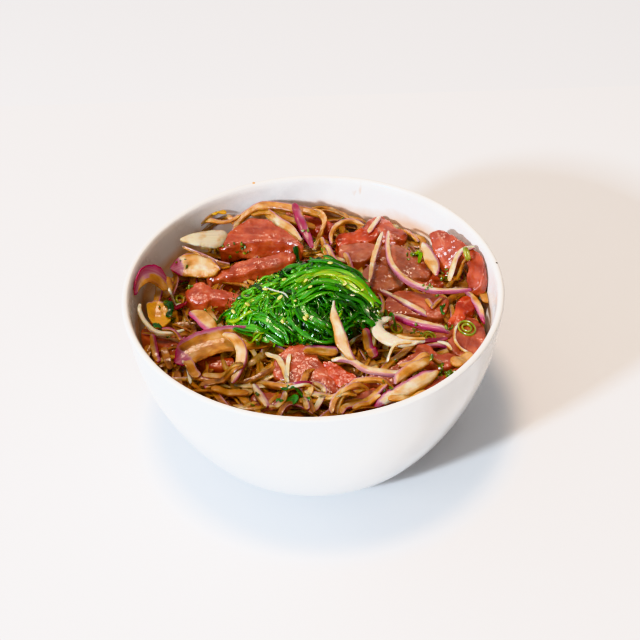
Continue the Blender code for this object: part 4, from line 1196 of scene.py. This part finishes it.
# Chopped herbs: crumpled flakes of leaf 1 to 3 mm across, wet and dark green,
# in small clusters. Each cluster's place, spread and number of flakes.
FLAKE_SIZE = (2.4, 1.5, 0.35)
FLAKE_TILT = 0.7
HERBS = [
    (-26, 68, 1.5, 4), (-61, 34, 2.5, 9), (-38, 44, 3.5, 34), (-33, 46, 3, 16), (-62, 15, 2, 6),
    (-57, 18, 2, 5), (-48, 8, 2, 5), (-66, 6, 2.5, 12), (6, 45, 2.5, 8), (16, 66, 1.5, 4), (48, 37, 2.5, 8),
    (53, -39, 2.6, 34), (58, -43, 2.4, 22), (46, -13, 2, 6), (61, -12, 2, 5), (34, -31, 2, 5),
    (30, -54, 1.5, 4), (-27, -53, 1.5, 4), (-10, -52, 2.5, 10), (22, -21, 3, 10), (30, -10, 3, 10),
    (62, 22, 2, 8), (52, 10, 3, 5), (-2, 52, 2, 5), (-45, -35, 3, 4),
]
flake, flake_faces = ball(8, 5)
flake *= FLAKE_SIZE
flake[:, 2] += 0.5 * np.sin(2.6 * flake[:, 0]) + 0.35 * np.cos(4 * flake[:, 1])
flake_spots = []
for x, y, spread_here, number in HERBS:
    for k in range(number):
        px, py = x + dice.normal(0, spread_here * 0.7), y + dice.normal(0, spread_here * 0.55)
        flake_spots.append((px, py, top_at(px, py, 0) + dice.uniform(0.1, 0.9), dice.uniform(0.5, 1.2)))
flakes = scattered(flake, flake_faces, flake_spots, "chopped_herbs", FLAKE_TILT)
herb = mottled("chopped_herbs", 420, [(0.3, "#26360c"), (0.5, "#486014"), (0.72, "#8a9020")], {
    "Roughness": 0.4, "IOR": 1.4, "Coat Weight": 1.0, "Coat Roughness": 0.2,
})
hand_in(flakes, "chopped_herbs", "seaweed", herb)

# Two spots the cook left on the rim: a dark crumb on the right and a drop of dressing at the back left.
RIM_SPOTS = [("crumb", 83.2, 10.8, 0.45, "#3a2c22"), ("dried_drop", -27.2, 79.0, 0.6, "#f0a838")]
for name, x, y, size, code in RIM_SPOTS:
    select_only()
    bpy.ops.mesh.primitive_uv_sphere_add(segments=12, ring_count=8, radius=size * MM)
    spot = bpy.context.object
    spot.scale = (1.2, 1, 0.5)
    spot.location = Vector((x, y, BOWL_HEIGHT)) * MM
    finish, tree, shader = new_finish(name)
    place = add_node(tree, "TexCoord").outputs["Object"]
    mottle = add_node(tree, "TexNoise", {0: place, "Scale": 900, "Detail": 2})
    rough = add_node(tree, "MapRange", {0: mottle, 1: 0.3, 2: 0.7, 3: 0.3, 4: 0.6})
    plug(shader, {"Roughness": rough, "Base Color": colour(code), "IOR": 1.4})
    hand_in(spot, name, "dressed_shreds", finish)

# Table, light and camera --------------------------------------------------------------------------
# A pale laminate table with a paler wall board behind it, a low lamp from
# the front left, a wide warm one overhead and even light from all round.

TABLE_EDGE = 0.294
TABLE_REACH = 3.0
surfaces = {
    "table": ((-TABLE_REACH, TABLE_EDGE), "#e4e4e6"),
    "backdrop": ((TABLE_EDGE, TABLE_REACH), "#dfe0e3"),
}
for name, ((near, far), code) in surfaces.items():
    select_only()
    bpy.ops.mesh.primitive_plane_add(size=1, location=(0, (near + far) / 2, 0))
    sheet = bpy.context.object
    sheet.scale = (2 * TABLE_REACH, far - near, 1)
    bpy.ops.object.transform_apply(location=True, rotation=True, scale=True)
    sheet.name = name
    laminate, tree, shader = new_finish(name + "_laminate")
    place = add_node(tree, "TexCoord").outputs["Object"]
    dust = add_node(tree, "TexNoise", {0: place, "Scale": 300, "Detail": 2})
    sheen = add_node(tree, "MapRange", {0: dust, 1: 0.3, 2: 0.7, 3: 0.42, 4: 0.5})
    plug(shader, {"Roughness": sheen, "Base Color": colour(code), "IOR": 1.45})
    sheet.data.materials.append(laminate)
    sheet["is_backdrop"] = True

world = bpy.data.worlds.new("studio")
bpy.context.scene.world = world
world.use_nodes = True
sky = world.node_tree
way = add_node(sky, "TexCoord")
part = add_node(sky, "SeparateXYZ", {0: way.outputs["Generated"]})
side = add_node(sky, "MapRange", {0: part.outputs["X"], 1: -0.9, 2: 0.9})
room = add_node(sky, "ValToRGB", {0: side}, ramp=[(0.0, "#fafbfd"), (0.5, "#cccdce"), (1.0, "#5e554c")])
overhead = add_node(sky, "MapRange", {0: part.outputs["Z"], 1: 0.0, 2: 1.0, 3: 0.78, 4: 1.2})
plug(sky.nodes["Background"], {"Color": room, "Strength": overhead})


def lamp(name, azimuth, height, distance, size, power, tint):
    """A square soft light that faces the bowl. Azimuth is from +X, and height above the table, in degrees."""
    light = bpy.data.lights.new(name, "AREA")
    light.size, light.energy, light.color = size, power, tint
    obj = bpy.data.objects.new(name, light)
    bpy.context.scene.collection.objects.link(obj)
    a, e = math.radians(azimuth), math.radians(height)
    way = Vector((math.cos(a) * math.cos(e), math.sin(a) * math.cos(e), math.sin(e)))
    obj.location = way * distance + Vector((0, 0, BOWL_HEIGHT * MM))
    obj.rotation_euler = way.to_track_quat("Z", "Y").to_euler()


lamp("low_front_left", -137, 25.5, 2.0, 0.16, 52, (0.79, 0.90, 1.0))
lamp("overhead", -147, 84, 1.5, 0.3, 15, (1.0, 0.76, 0.56))

camera = bpy.data.objects.new("camera", bpy.data.cameras.new("camera"))
bpy.context.scene.collection.objects.link(camera)
camera.data.sensor_width = 36
camera.data.lens = 75.8
camera.location = (0, -0.462, 0.468)
camera.rotation_mode = "XYZ"
pitch, yaw, tilt = math.radians(90 - 41.19), math.radians(-0.34), math.radians(-1.68)
turned = Matrix.Rotation(yaw, 3, "Z") @ Matrix.Rotation(pitch, 3, "X") @ Matrix.Rotation(tilt, 3, "Z")
camera.rotation_euler = turned.to_euler()
camera.data.clip_start, camera.data.clip_end = 0.01, 20
bpy.context.scene.camera = camera
bpy.context.scene.view_settings.view_transform = "Khronos PBR Neutral"

low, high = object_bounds()
